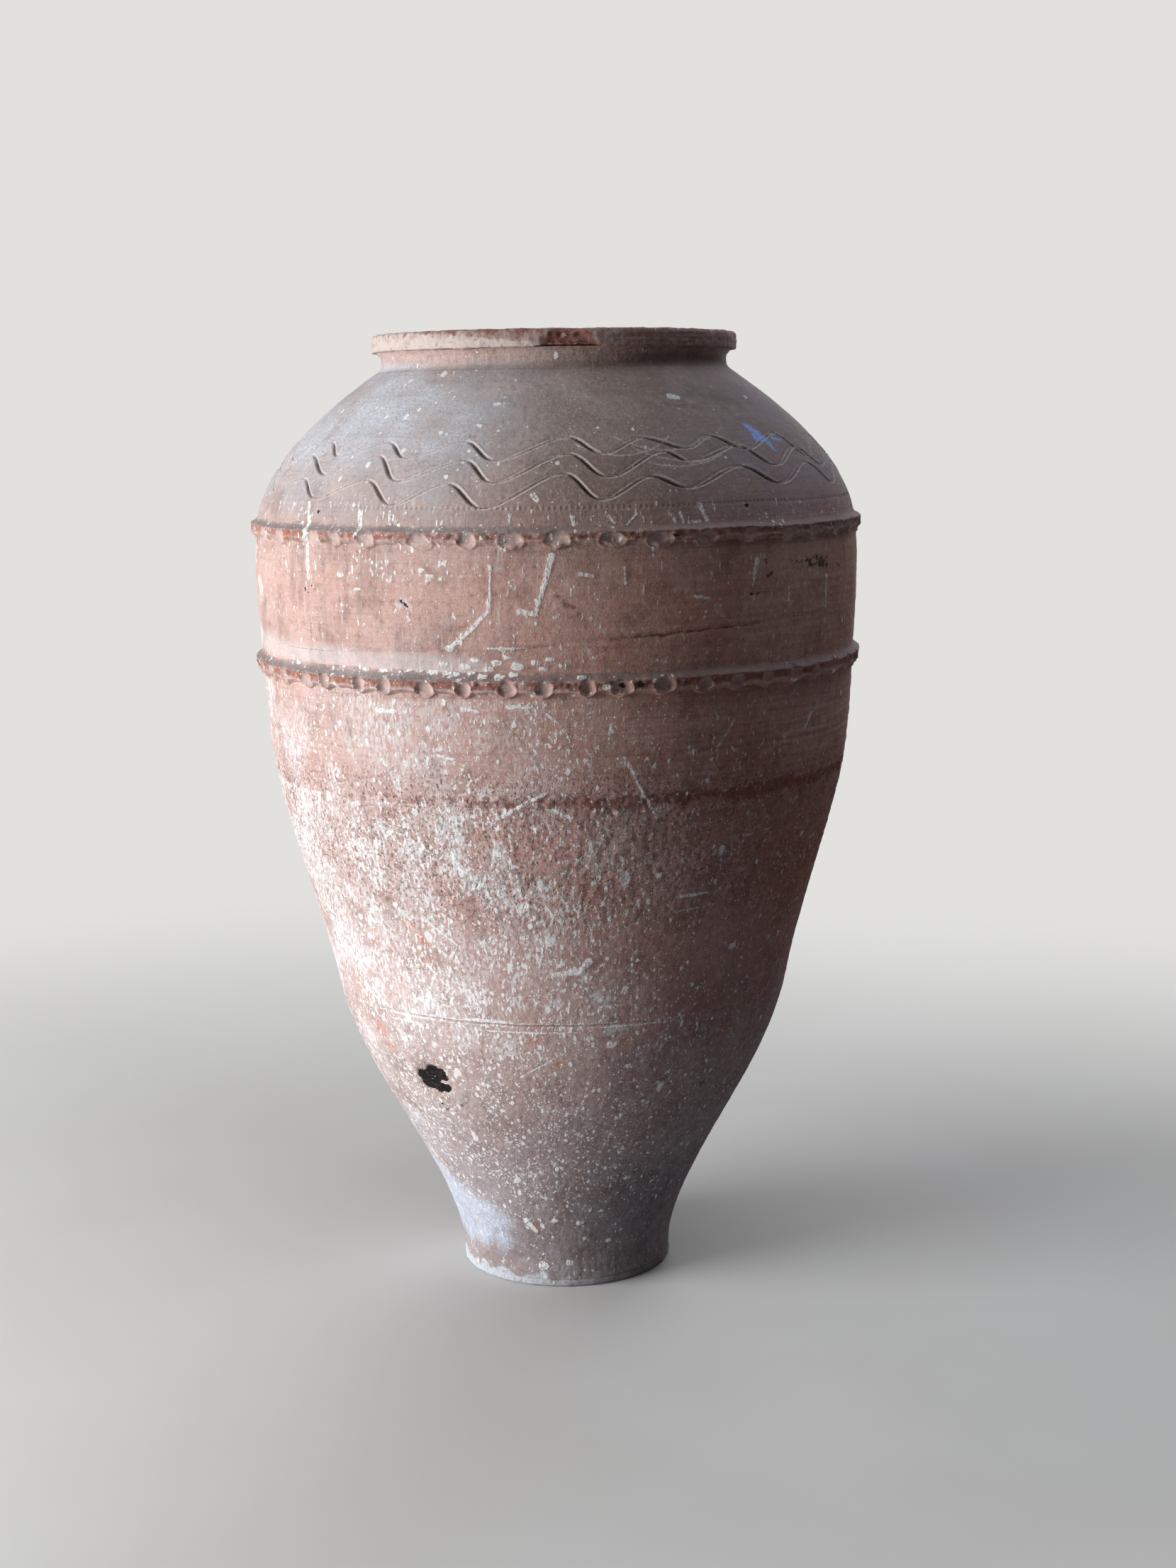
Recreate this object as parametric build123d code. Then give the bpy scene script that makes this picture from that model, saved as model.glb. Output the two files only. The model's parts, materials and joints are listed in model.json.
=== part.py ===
from build123d import *

import os
from math import sqrt

# A storage jar as a potter puts it together: a floor slab, five thrown wall
# sections, a neck and a rim, each keyed into the next by a step in its edge,
# two thumbed bands over the widest seams, and clay coils that seal the seams
# from inside. Millimetres, origin at the middle of the foot, +Z up, -Y front.

os.makedirs("parts", exist_ok=True)

# Heights of the pieces from the ground up
LIP_HEIGHT = 9.0
FOOT_HEIGHT = 313.0
LOWER_HEIGHT = 228.0
WAIST_HEIGHT = 119.0
BELLY_HEIGHT = 137.0
SHOULDER_HEIGHT = 156.0
NECK_HEIGHT = 20.0
RIM_HEIGHT = 18.0

# Outside radius of the wall at the foot and at each seam, and how far the slab stands out under it
FOOT_RADIUS = 110.5
SLAB_PROUD = 2.5
FOOT_SEAM_RADIUS = 242.0
LOWER_SEAM_RADIUS = 300.5
WAIST_SEAM_RADIUS = 311.5
BELLY_SEAM_RADIUS = 313.3

# Mouth, and the thickness around it of the neck and of the rim; the neck curves in by the cove
MOUTH_RADIUS = 160.0
NECK_WALL = 20.0
NECK_COVE = 5.0
RIM_WIDTH = 30.0

# Lean of the wall at the foot and at each seam, radius gained per height gained
FOOT_LEAN = 0.12
FOOT_SEAM_LEAN = 0.20
LOWER_SEAM_LEAN = 0.205
WAIST_SEAM_LEAN = 0.05
BELLY_SEAM_LEAN = -0.10
SHOULDER_SEAM_LEAN = -1.45

# Thickness of the wall and of the floor, height of the keys in the seams
WALL = 18.0
FLOOR = 24.0
SEAM_KEY = 9.0
RIM_KEY = 7.0

# Rounded edges
SLAB_ROUND = 3.0
RIM_OUTER_ROUND = 5.0
RIM_UNDER_ROUND = 2.0
RIM_INNER_ROUND = 3.0

# Thumbed bands: half height, how far they stand out, dents round the jar
LOWER_BAND_HALF = 12.0
LOWER_BAND_PROUD = 8.0
LOWER_BAND_DENTS = 51
UPPER_BAND_HALF = 10.5
UPPER_BAND_PROUD = 7.0
UPPER_BAND_DENTS = 42
DENT_WIDTH = 22.0
DENT_DEPTH = 4.5
DENT_DROP = 2.5

# Clay coils inside: half height and thickness over the seams, size in the corner of the floor
COIL_HALF = 26.0
COIL_THICK = 8.0
FLOOR_COIL = 24.0

# Ragged hole low on the front left, stopped with pitch: three round lobes
HOLE_HEIGHT = 248.0
HOLE_ANGLE = -129.0
HOLE_LOBES = [(-7.0, -1.0, 14.5), (6.0, 5.5, 14.0), (10.0, -9.0, 11.0)]
PITCH_RECESS = 3.0

# Radii round the mouth
neck_radius = MOUTH_RADIUS + NECK_WALL
neck_root = neck_radius + NECK_COVE
rim_radius = MOUTH_RADIUS + RIM_WIDTH

# Seams of the wall as height, outside radius and lean
foot = (LIP_HEIGHT, FOOT_RADIUS, FOOT_LEAN)
foot_seam = (foot[0] + FOOT_HEIGHT, FOOT_SEAM_RADIUS, FOOT_SEAM_LEAN)
lower_seam = (foot_seam[0] + LOWER_HEIGHT, LOWER_SEAM_RADIUS, LOWER_SEAM_LEAN)
waist_seam = (lower_seam[0] + WAIST_HEIGHT, WAIST_SEAM_RADIUS, WAIST_SEAM_LEAN)
belly_seam = (waist_seam[0] + BELLY_HEIGHT, BELLY_SEAM_RADIUS, BELLY_SEAM_LEAN)
shoulder_seam = (belly_seam[0] + SHOULDER_HEIGHT, neck_root, SHOULDER_SEAM_LEAN)
outer = [foot, foot_seam, lower_seam, waist_seam, belly_seam, shoulder_seam]
rim_bottom = shoulder_seam[0] + NECK_HEIGHT
top = rim_bottom + RIM_HEIGHT


def offset_in(seam, depth):
    """The point of the wall at a depth below its outside, with the same lean."""
    height, radius, lean = seam
    slant = sqrt(1 + lean * lean)
    return (height + depth * lean / slant, radius - depth / slant, lean)


inner = [offset_in(seam, WALL) for seam in outer]


def wall_point(seams, height):
    """Height, radius and lean of a wall surface, by the cubic between two seams."""
    for (low, r_low, m_low), (high, r_high, m_high) in zip(seams, seams[1:]):
        if height <= high:
            break
    span = high - low
    t = (height - low) / span
    rise = r_high - r_low
    radius = r_low + rise * t * t * (3 - 2 * t) + span * t * (1 - t) * (m_low * (1 - t) - m_high * t)
    lean = 6 * t * (1 - t) * rise / span + m_low * (1 - t) * (1 - 3 * t) + m_high * t * (3 * t - 2)
    return (height, radius, lean)


def wall_line(low, high):
    """The curve of the wall from one seam to the next."""
    third = (high[0] - low[0]) / 3
    return Bezier(
        (low[1], low[0]),
        (low[1] + low[2] * third, low[0] + third),
        (high[1] - high[2] * third, high[0] - third),
        (high[1], high[0]),
    )


def wall_span(points, low, high):
    """The curves of a wall surface between two of its points' heights."""
    points = [point for point in points if low <= point[0] <= high]
    return [wall_line(a, b) for a, b in zip(points, points[1:])]


def ring(face):
    """A section drawn as radius and height, turned about the jar's axis."""
    return revolve(Plane.XZ * face, Axis.Z)


# Heights where the bands end outside, and where the coils end, meet a seam and end again inside
band_ends = []
for seam, half in ((waist_seam, LOWER_BAND_HALF), (belly_seam, UPPER_BAND_HALF)):
    band_ends += [seam[0] - half, seam[0] + half]
coil_ends = [FLOOR, FLOOR + FLOOR_COIL]
for seam in outer[1:-1]:
    joint = seam[0] + SEAM_KEY
    coil_ends += [joint - COIL_HALF, joint, joint + COIL_HALF]
outer_points = sorted(outer + [wall_point(outer, height) for height in band_ends])
inner_points = sorted(inner + [wall_point(inner, height) for height in coil_ends])

# The whole wall in section, from the slab to the flat top of the rim
inner_top = inner[-1]
mouth_bottom = inner_top[0] + (MOUTH_RADIUS - inner_top[1]) / inner_top[2]
outside = wall_span(outer_points, foot[0], shoulder_seam[0])
inside = wall_span(inner_points, inner[0][0], inner_top[0])
neck_line = ThreePointArc(
    (neck_root, shoulder_seam[0]),
    (neck_radius, shoulder_seam[0] + NECK_HEIGHT / 2),
    (neck_root, rim_bottom),
)
rim_line = Polyline(
    (neck_root, rim_bottom),
    (rim_radius, rim_bottom),
    (rim_radius, top),
    (MOUTH_RADIUS, top),
    (MOUTH_RADIUS, mouth_bottom),
    (inner_top[1], inner_top[0]),
)
foot_line = Polyline(
    (inner[0][1], inner[0][0]),
    (inner[0][1], LIP_HEIGHT),
    (FOOT_RADIUS, LIP_HEIGHT),
)
wall = make_face(outside + [neck_line, rim_line, foot_line] + inside)

# Seams as the height outside, the radius of the key and the height of the key
seams = [(LIP_HEIGHT, (FOOT_RADIUS + inner[0][1]) / 2, FLOOR - LIP_HEIGHT)]
for seam in outer[1:-1]:
    seams.append((seam[0], offset_in(seam, WALL / 2)[1], SEAM_KEY))
neck_key = MOUTH_RADIUS + NECK_WALL / 2
seams.append((shoulder_seam[0], neck_key, SEAM_KEY))
seams.append((rim_bottom, neck_key, RIM_KEY))
seams.append((top, neck_key, 0))

reach = 2 * max(seam[1] for seam in outer)


def course(low, high):
    """The part of the wall's section between two stepped seams."""
    steps = [
        (0, low[0] + low[2]),
        (low[1], low[0] + low[2]),
        (low[1], low[0]),
        (reach, low[0]),
        (reach, high[0]),
        (high[1], high[0]),
    ]
    if high[2]:
        steps.append((high[1], high[0] + high[2]))
    steps.append((0, high[0] + high[2]))
    return wall & make_face(Polyline(*steps, close=True))


pieces = {}

# Floor slab with the raised middle that keys into the wall
slab_key = seams[0][1]
slab_radius = FOOT_RADIUS + SLAB_PROUD
slab_face = make_face(
    Polyline(
        (0, 0),
        (slab_radius, 0),
        (slab_radius, LIP_HEIGHT),
        (slab_key, LIP_HEIGHT),
        (slab_key, FLOOR),
        (0, FLOOR),
        close=True,
    )
)
slab_edge = slab_face.vertices().group_by(Axis.X)[-1]
pieces["base_slab"] = ring(fillet(slab_edge, SLAB_ROUND))

# Wall sections, neck and rim
courses = ["foot_wall", "lower_wall", "waist_wall", "belly_wall", "shoulder_wall", "neck_ring"]
for name, low, high in zip(courses, seams, seams[1:]):
    pieces[name] = ring(course(low, high))

rim_face = course(seams[-2], seams[-1])
rim_edge = rim_face.vertices().group_by(Axis.X)[-1].sort_by(Axis.Y)
rim_face = fillet(rim_edge[-1], RIM_OUTER_ROUND)
rim_edge = rim_face.vertices().group_by(Axis.X)[-1].sort_by(Axis.Y)
rim_face = fillet(rim_edge[0], RIM_UNDER_ROUND)
rim_edge = rim_face.vertices().group_by(Axis.X)[0].sort_by(Axis.Y)
rim_face = fillet(rim_edge[-1], RIM_INNER_ROUND)
pieces["rim_ring"] = ring(rim_face)


def thumbed_band(seam, half, proud, dents):
    """A rounded strip laid over a seam and dented by the thumb all the way round."""
    height, radius, lean = seam
    crest = radius + proud
    low = height - half
    high = height + half
    face = ThreePointArc((wall_point(outer, low)[1], low), (crest, height), (wall_point(outer, high)[1], high))
    strip = ring(make_face([face] + wall_span(outer_points, low, high)))
    dent_radius = (DENT_WIDTH * DENT_WIDTH / 4 + DENT_DEPTH * DENT_DEPTH) / (2 * DENT_DEPTH)
    centre = crest + dent_radius - DENT_DEPTH
    thumb = PolarLocations(centre, dents, -90) * Sphere(dent_radius)
    return strip - [Pos(0, 0, height - DENT_DROP) * press for press in thumb]


pieces["lower_band"] = thumbed_band(waist_seam, LOWER_BAND_HALF, LOWER_BAND_PROUD, LOWER_BAND_DENTS)
pieces["upper_band"] = thumbed_band(belly_seam, UPPER_BAND_HALF, UPPER_BAND_PROUD, UPPER_BAND_DENTS)


def seam_coil(height):
    """A flattened coil smeared over a seam on the inside of the wall."""
    low = height - COIL_HALF
    high = height + COIL_HALF
    crest = wall_point(inner, height)[1] - COIL_THICK
    face = ThreePointArc((wall_point(inner, low)[1], low), (crest, height), (wall_point(inner, high)[1], high))
    return ring(make_face([face] + wall_span(inner_points, low, high)))


coils = ["foot_seam_coil", "lower_seam_coil", "waist_seam_coil", "belly_seam_coil"]
for name, seam in zip(coils, outer[1:-1]):
    pieces[name] = seam_coil(seam[0] + SEAM_KEY)

# Coil pressed into the corner between floor and wall
corner = wall_point(inner, FLOOR)[1]
coil_top = FLOOR + FLOOR_COIL
coil_hollow = FLOOR_COIL * (1 - sqrt(0.5))
coil_face = ThreePointArc(
    (corner - FLOOR_COIL, FLOOR),
    (corner - coil_hollow, FLOOR + coil_hollow),
    (wall_point(inner, coil_top)[1], coil_top),
)
coil_seat = Line((corner - FLOOR_COIL, FLOOR), (corner, FLOOR))
pieces["floor_coil"] = ring(make_face([coil_face, coil_seat] + wall_span(inner_points, FLOOR, coil_top)))

# Ragged hole through the foot section and the pitch that stops it
_, hole_radius, hole_lean = wall_point(outer, HOLE_HEIGHT)
hole_plane = Plane(origin=(hole_radius, 0, HOLE_HEIGHT), x_dir=(0, 1, 0), z_dir=(1, 0, -hole_lean))


def lobes(front):
    """The three lobes of the hole, from a height over the wall's outside to past its inside."""
    depth = front + 2 * WALL
    tools = []
    for across, up, radius in HOLE_LOBES:
        tools.append(hole_plane * Pos(across, up, front - depth / 2) * Cylinder(radius, depth))
    return Rot(0, 0, HOLE_ANGLE) * (tools[0] + tools[1:])


sound_wall = pieces["foot_wall"]
pieces["foot_wall"] = sound_wall - lobes(WALL)
pieces["pitch_plug"] = sound_wall & lobes(-PITCH_RECESS)

for name, piece in pieces.items():
    export_step(piece, f"parts/{name}.step")
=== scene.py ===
import json
from math import hypot, pi, radians

import bmesh
import bpy
import numpy as np
from mathutils import Matrix, Vector


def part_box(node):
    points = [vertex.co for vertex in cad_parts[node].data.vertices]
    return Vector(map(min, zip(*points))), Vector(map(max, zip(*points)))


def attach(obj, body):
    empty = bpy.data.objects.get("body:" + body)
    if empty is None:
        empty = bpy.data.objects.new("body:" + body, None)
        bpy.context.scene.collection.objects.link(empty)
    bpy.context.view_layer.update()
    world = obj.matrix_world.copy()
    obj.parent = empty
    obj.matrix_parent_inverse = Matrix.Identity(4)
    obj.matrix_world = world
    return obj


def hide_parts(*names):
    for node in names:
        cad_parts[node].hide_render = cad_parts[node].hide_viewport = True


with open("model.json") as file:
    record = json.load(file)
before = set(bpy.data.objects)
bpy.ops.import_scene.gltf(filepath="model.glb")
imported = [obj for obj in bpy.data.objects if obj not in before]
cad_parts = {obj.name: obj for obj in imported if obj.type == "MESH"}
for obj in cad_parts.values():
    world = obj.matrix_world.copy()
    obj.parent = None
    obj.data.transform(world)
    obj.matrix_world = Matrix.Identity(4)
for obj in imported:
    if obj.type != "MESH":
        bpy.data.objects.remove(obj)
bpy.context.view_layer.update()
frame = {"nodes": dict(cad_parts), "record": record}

# A hand-built terracotta storage jar with incised waves, thumbed bands and years of lime, dust and dirt

# Shapes are in millimetres, and angles in degrees from the front to the viewer's right
# Heights in shaders, the floor, the lamps and the camera are in metres
MM = 0.001
SEED = 11

# Lean of the wall at the foot and at each seam, radius gained per height gained
LEANS = [0.12, 0.20, 0.205, 0.05, -0.10, -1.45]
WALL = 18.0
SEAM_KEY = 9.0
BURIED = 2.0
NECK_COVE, NECK_WAIST, NECK_FLARE = 5.0, 12.0, 8.0

# Points round each kind of piece, and the strips that each is cut into for its image
WALL_COLUMNS, WALL_STRIPS = 880, 4
SHOULDER_COLUMNS = 2000
BAND_COLUMNS, BAND_STRIPS = 1440, 8
RIM_COLUMNS, RIM_STRIPS = 900, 6
COIL_COLUMNS, COIL_STRIPS, SLAB_STRIPS = 360, 4, 8


# Sizes taken from the frame

def span(node):
    """Lowest and highest height of a node."""
    low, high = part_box(node)
    return low.z / MM, high.z / MM


def radii_near(node, height, reach):
    """Radii of a node's points within a reach of a height."""
    points = [v.co / MM for v in frame["nodes"][node].data.vertices]
    return [hypot(p.x, p.y) for p in points if abs(p.z - height) < reach]


COURSES = ["foot_wall", "lower_wall", "waist_wall", "belly_wall", "shoulder_wall", "neck_ring"]
AT_SEAM, AT_CREST = 0.05, 4.0
seam_heights = [span(node)[0] for node in COURSES]
seam_radii = [max(radii_near(node, height, AT_SEAM)) for node, height in zip(COURSES, seam_heights)]
FOOT, FOOT_SEAM, LOWER_SEAM, WAIST_SEAM, BELLY_SEAM, SHOULDER_SEAM = seam_heights
floor_top = span("base_slab")[1]
rim_bottom, top = span("rim_ring")
rim_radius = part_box("rim_ring")[1].x / MM
slab_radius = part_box("base_slab")[1].x / MM
neck_top = span("neck_ring")[1]
neck_root = seam_radii[-1]
mouth_radius = next(m for m in frame["record"]["mounts"] if m["name"] == "mouth")["dims"]["r_mm"]
neck_key = mouth_radius + (neck_root - NECK_COVE - mouth_radius) / 2


# The wall's outside as a smooth curve through the seams

def wall_curve(height):
    """Radius and lean of the wall's outside at heights."""
    height = np.asarray(height, float)
    course = np.clip(np.searchsorted(seam_heights, height, side="right") - 1, 0, len(LEANS) - 2)
    z, r, m = np.array(seam_heights), np.array(seam_radii), np.array(LEANS)
    tall = z[course + 1] - z[course]
    t = (height - z[course]) / tall
    rise = r[course + 1] - r[course]
    m0, m1 = m[course], m[course + 1]
    radius = r[course] + rise * t * t * (3 - 2 * t) + tall * t * (1 - t) * (m0 * (1 - t) - m1 * t)
    lean = 6 * t * (1 - t) * rise / tall + m0 * (1 - t) * (1 - 3 * t) + m1 * t * (3 * t - 2)
    return radius, lean


def inside_curve(height, depth=WALL):
    """Points at a depth below the wall's outside, as radii and heights."""
    radius, lean = wall_curve(height)
    slant = np.sqrt(1 + lean * lean)
    return radius - depth / slant, height + depth * lean / slant


inside_radii, inside_heights = inside_curve(np.linspace(FOOT, SHOULDER_SEAM, 400))
ruler_heights = np.linspace(FOOT, SHOULDER_SEAM, 2000)
ruler_steps = np.hypot(np.diff(wall_curve(ruler_heights)[0]), np.diff(ruler_heights))
ruler = np.concatenate([[0], np.cumsum(ruler_steps)])


def inside_radius(height):
    """Radius of the wall's inside at heights."""
    return np.interp(height, inside_heights, inside_radii)


def along_wall(height):
    """Distance up the wall's surface to heights."""
    return np.interp(height, ruler_heights, ruler)


def steps(low, high, size):
    """Even heights from low to high, about a size apart."""
    return np.linspace(low, high, max(3, int(round((high - low) / size)) + 1))


# Hand-made unevenness

LATTICE = 256
FLAT = (1, 1, 0)
lattice = np.random.default_rng(SEED).permutation(LATTICE)
slopes = np.random.default_rng(SEED + 1).normal(size=(LATTICE, 3))
slopes /= np.linalg.norm(slopes, axis=1)[:, None]


def noise(points, size, seed):
    """Smooth noise of about -1 to 1 with lumps of the given size."""
    last = LATTICE - 1
    place = points / size + seed * 17.3
    cell = np.floor(place).astype(int)
    part = place - cell
    ease = part ** 3 * (part * (part * 6 - 15) + 10)
    total = 0.0
    for corner in np.ndindex(2, 2, 2):
        at = (cell + corner) & last
        pick = lattice[(lattice[(lattice[at[..., 0]] + at[..., 1]) & last] + at[..., 2]) & last]
        pull = (slopes[pick] * (part - corner)).sum(-1)
        total = total + pull * np.where(corner, ease, 1 - ease).prod(-1)
    return total * 1.5


def fade(value, start, end):
    """Smooth step from 0 at start to 1 at end."""
    t = np.clip((value - start) / (end - start), 0, 1)
    return t * t * (3 - 2 * t)


def near(value, centre, width):
    """Soft bump of 1 at the centre."""
    return np.exp(-((value - centre) / width) ** 2)


def lumps(points):
    """Slow unevenness that neighbouring pieces share, so that they meet."""
    return 1.1 * noise(points, 170, 1) + 0.45 * noise(points, 55, 2)


def turning(points, size, seed):
    """Fine lines left by a wet hand while the jar turned."""
    return noise(points * (0.05, 0.05, 1), size, seed)


def gritty(points):
    """Coarse, pitted clay."""
    pits = np.clip(noise(points, 6, 6) - 0.15, 0, 1)
    return 0.35 * noise(points, 12, 4) + 0.55 * noise(points, 5, 5) - 1.7 * pits


# Rings: a closed section turned about the axis, with every point pushed in or out by its relief

OUTSIDE, INSIDE = 0, 1
FAR = -8.0
SHARP_EDGE = 75.0
WELD_REACH = 1e-5

# Margins of a ring's image, the outside's share of its height, and the places of strips within their shares
UV_EDGE, UV_SKIN = 0.004, 0.86
STRIP_LOW, STRIP_TALL = 0.03, 0.94
REST_LOW, REST_TALL = 0.1, 0.85


class Section:
    """Rows of a ring's closed section: up the outside, in over the top, down the inside and out again."""

    def __init__(self):
        self.rows = []
        self.parts = []

    def run(self, radii, heights, part):
        radii = np.asarray(radii, float)
        heights = np.asarray(heights, float)
        out = np.gradient(heights)
        up = -np.gradient(radii)
        length = np.hypot(out, up)
        self.rows.append(np.stack([radii, heights, out / length, up / length], 1))
        self.parts += [part] * len(radii)
        return self


def joined(runs):
    """Radii and heights of several runs, one after another."""
    return np.concatenate([np.stack(np.broadcast_arrays(*run)) for run in runs], 1)


class Ring:
    """Points of a ring piece, with its relief and its marks, as rows by columns."""

    def __init__(self, section, columns):
        rows = np.concatenate(section.rows)
        self.parts = np.array(section.parts)
        self.radius, self.height, self.out, self.up = (rows[:, [i]] for i in range(4))
        self.angle = np.arange(columns) * 2 * pi / columns - pi
        self.degrees = np.degrees(self.angle)[None, :]
        self.skin = (self.parts == OUTSIDE)[:, None]
        self.points = self.place(0.0)
        self.relief = np.zeros(self.points.shape[:2])
        self.along = along_wall(self.height)[:, 0]
        self.marks = {}

    def place(self, relief):
        radius = self.radius + self.out * relief
        height = self.height + self.up * relief + 0 * self.angle
        return np.stack([radius * np.sin(self.angle), -radius * np.cos(self.angle), height], -1)

    def press(self, relief):
        """Pushes the outside out by a relief."""
        self.relief += np.where(self.skin, relief, 0)

    def mark(self, name):
        """A field of distances inside the edge of a mark, in millimetres."""
        if name not in self.marks:
            self.marks[name] = np.full(self.relief.shape, FAR)
        return self.marks[name]

    def lay(self, name, inside):
        """Adds a field of distances to a mark of the outside."""
        field = self.mark(name)
        np.maximum(field, np.where(self.skin, inside, FAR), out=field)

    def stroke(self, name, path, width, raised=0.0):
        """Lays a stroke along points of angle and height, each leg tapering to two thirds."""
        field = self.mark(name)
        path = list(path)
        margin = width - FAR
        for (a0, h0), (a1, h1) in zip(path, path[1:]):
            low, high = along_wall(h0), along_wall(h1)
            girth = float(np.interp(h0, self.height[self.skin], self.radius[self.skin]))
            turn = (self.angle - radians(a0) + pi) % (2 * pi) - pi
            across = turn * girth
            dx, dy = radians(a1 - a0) * girth, high - low
            beside = abs(self.along - (low + high) / 2) < abs(dy) / 2 + margin
            rows = np.flatnonzero(beside & self.skin[:, 0])
            cols = np.flatnonzero(abs(across - dx / 2) < abs(dx) / 2 + margin)
            if not len(rows) or not len(cols):
                continue
            x = across[cols][None, :]
            y = (self.along[rows] - low)[:, None]
            t = np.clip((x * dx + y * dy) / max(dx * dx + dy * dy, 1e-9), 0, 1)
            inside = width * (1 - t / 3) - np.hypot(x - t * dx, y - t * dy)
            patch = np.ix_(rows, cols)
            field[patch] = np.maximum(field[patch], inside)
            self.relief[patch] += raised * fade(inside, -0.8, 0.8)

    def strokes(self, name, table, raised=0.0):
        """Lays strokes of a mark, each with its path and width."""
        for path, width in table:
            self.stroke(name, path, width, raised)

    def spots(self, name, places, raised=0.0):
        """Lays round patches of a mark, each with its angle, height and radius."""
        for angle, height, size in places:
            self.stroke(name, [(angle - 0.5, height), (angle + 0.5, height)], size, raised)

    def scatter(self, name, count, seed, heights, angles, width, raised, length=0.0):
        """Throws splashes of a mark over a range of heights and angles."""
        draw = np.random.default_rng(seed)
        for _ in range(count):
            angle = draw.uniform(*angles)
            height = draw.uniform(*heights)
            half = width * draw.uniform(0.5, 1.3) ** 2
            drop = length * draw.uniform(0.3, 1.2)
            end = (angle + draw.normal(0, 0.15), height - drop)
            self.stroke(name, [(angle, height), end], half, raised)

    def throw(self, table):
        """Throws splashes as a table of arguments says."""
        for row in table:
            self.scatter(*row)

    def piece(self, node, strips, *materials):
        """Makes the ring a piece that stands for a CAD node, and gives its mesh and its grid of points."""
        points = self.place(self.relief) * MM
        rows, columns = self.relief.shape
        index = np.arange(rows * columns).reshape(rows, columns)
        right = np.roll(index, -1, 1)
        faces = np.stack([index, right, np.roll(right, -1, 0), np.roll(index, -1, 0)], -1)
        parts = np.maximum(self.parts, np.roll(self.parts, -1))
        mesh = mesh_of(node + "_mesh", points.reshape(-1, 3), faces.reshape(-1, 4))
        mesh.polygons.foreach_set("material_index", np.repeat(parts, columns).astype(np.int32))
        for mark, field in self.marks.items():
            layer = mesh.attributes.new(mark, "FLOAT", "POINT")
            layer.data.foreach_set("value", (field - FAR).astype(np.float32).ravel())
        layer = mesh.uv_layers.new(name="OFBake")
        layer.uv.foreach_set("vector", self.unrolled(parts, strips).astype(np.float32).ravel())
        piece_of(node + "_clay", mesh, materials, node)
        return mesh, index

    def unrolled(self, parts, strips):
        """Image places of the faces' corners: the outside in stacked strips, the rest in a strip above."""
        rows, columns = self.relief.shape
        wide = columns // strips
        column = np.arange(columns)
        shown = int((parts == OUTSIDE).sum())
        corners = np.zeros((rows, columns, 4, 2))
        for corner, (dc, dr) in enumerate(((0, 0), (1, 0), (1, 1), (0, 1))):
            for row in range(rows):
                if parts[row] == OUTSIDE:
                    u = (column % wide) / wide + dc / wide
                    v = column // wide + STRIP_LOW + STRIP_TALL * (row + dr) / shown
                    v = v / strips * UV_SKIN
                else:
                    u = (column + dc) / columns
                    v = REST_LOW + REST_TALL * (row - shown + dr) / (rows - shown)
                    v = UV_SKIN + (1 - UV_SKIN) * v
                corners[row, :, corner, 0] = UV_EDGE + (1 - 2 * UV_EDGE) * u
                corners[row, :, corner, 1] = v
        return corners


def mesh_of(name, points, faces):
    """A mesh from arrays of points and of four-cornered faces."""
    mesh = bpy.data.meshes.new(name)
    mesh.vertices.add(len(points))
    mesh.vertices.foreach_set("co", points.astype(np.float32).ravel())
    mesh.loops.add(faces.size)
    mesh.loops.foreach_set("vertex_index", faces.astype(np.int32).ravel())
    mesh.polygons.add(len(faces))
    mesh.polygons.foreach_set("loop_start", np.arange(0, faces.size, 4, dtype=np.int32))
    mesh.update(calc_edges=True)
    return mesh


def placed(name, data):
    """A new object in the scene."""
    item = bpy.data.objects.new(name, data)
    bpy.context.scene.collection.objects.link(item)
    return item


def piece_of(name, mesh, materials, node):
    """An object with smooth faces that rides on the jar and stands for a CAD node."""
    for material in materials:
        mesh.materials.append(material)
    mesh.polygons.foreach_set("use_smooth", np.ones(len(mesh.polygons), bool))
    mesh.set_sharp_from_angle(angle=radians(SHARP_EDGE))
    piece = placed(name, mesh)
    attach(piece, "root")
    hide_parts(node)


def join_ends(mesh, index, outward=False):
    """Joins the points of a grid's first row into one, and those of its last."""
    work = bmesh.new()
    work.from_mesh(mesh)
    work.verts.ensure_lookup_table()
    for row in [[work.verts[i] for i in index[end]] for end in (0, -1)]:
        bmesh.ops.remove_doubles(work, verts=row, dist=WELD_REACH)
    if outward:
        bmesh.ops.recalc_face_normals(work, faces=work.faces)
    work.to_mesh(mesh)
    work.free()


# Colours as they look in even light, red, green and blue of 255

def tone(red, green, blue):
    """A colour for a shader from its red, green and blue of 255."""
    parts = []
    for value in (red, green, blue):
        share = value / 255
        parts.append(share / 12.92 if share <= 0.04045 else ((share + 0.055) / 1.055) ** 2.4)
    return (*parts, 1.0)


CLAY_AND_FOOT_SHADE_BY_HEIGHT = [
    # The two lowest stops are darkened as painted shade near the floor
    (0.00, tone(108, 93, 93)),
    (0.10, tone(112, 95, 95)),
    (0.22, tone(140, 108, 104)),
    (0.34, tone(170, 123, 112)),
    (0.46, tone(182, 120, 104)),
    (0.57, tone(188, 128, 111)),
    (0.68, tone(194, 136, 116)),
    (0.76, tone(198, 133, 109)),
    (0.82, tone(182, 136, 120)),
    (0.87, tone(150, 132, 123)),
    (0.94, tone(140, 133, 127)),
    (0.957, tone(138, 128, 123)),
    (0.974, tone(168, 141, 132)),
    (0.981, tone(164, 128, 115)),
    (0.984, tone(132, 102, 93)),
]
CLAY_PALE = tone(222, 200, 193)
CLAY_DARK = tone(100, 62, 51)
CLAY_FRESH = tone(136, 80, 65)
CLAY_INSIDE = tone(150, 108, 92)
DUST = tone(144, 144, 139)
DUST_BROWN = tone(139, 119, 110)
DUST_WITH_PAINTED_BACK_LIGHT = tone(157, 144, 156)
DUST_WITH_PAINTED_SKY_LIGHT = tone(210, 219, 229)
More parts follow.
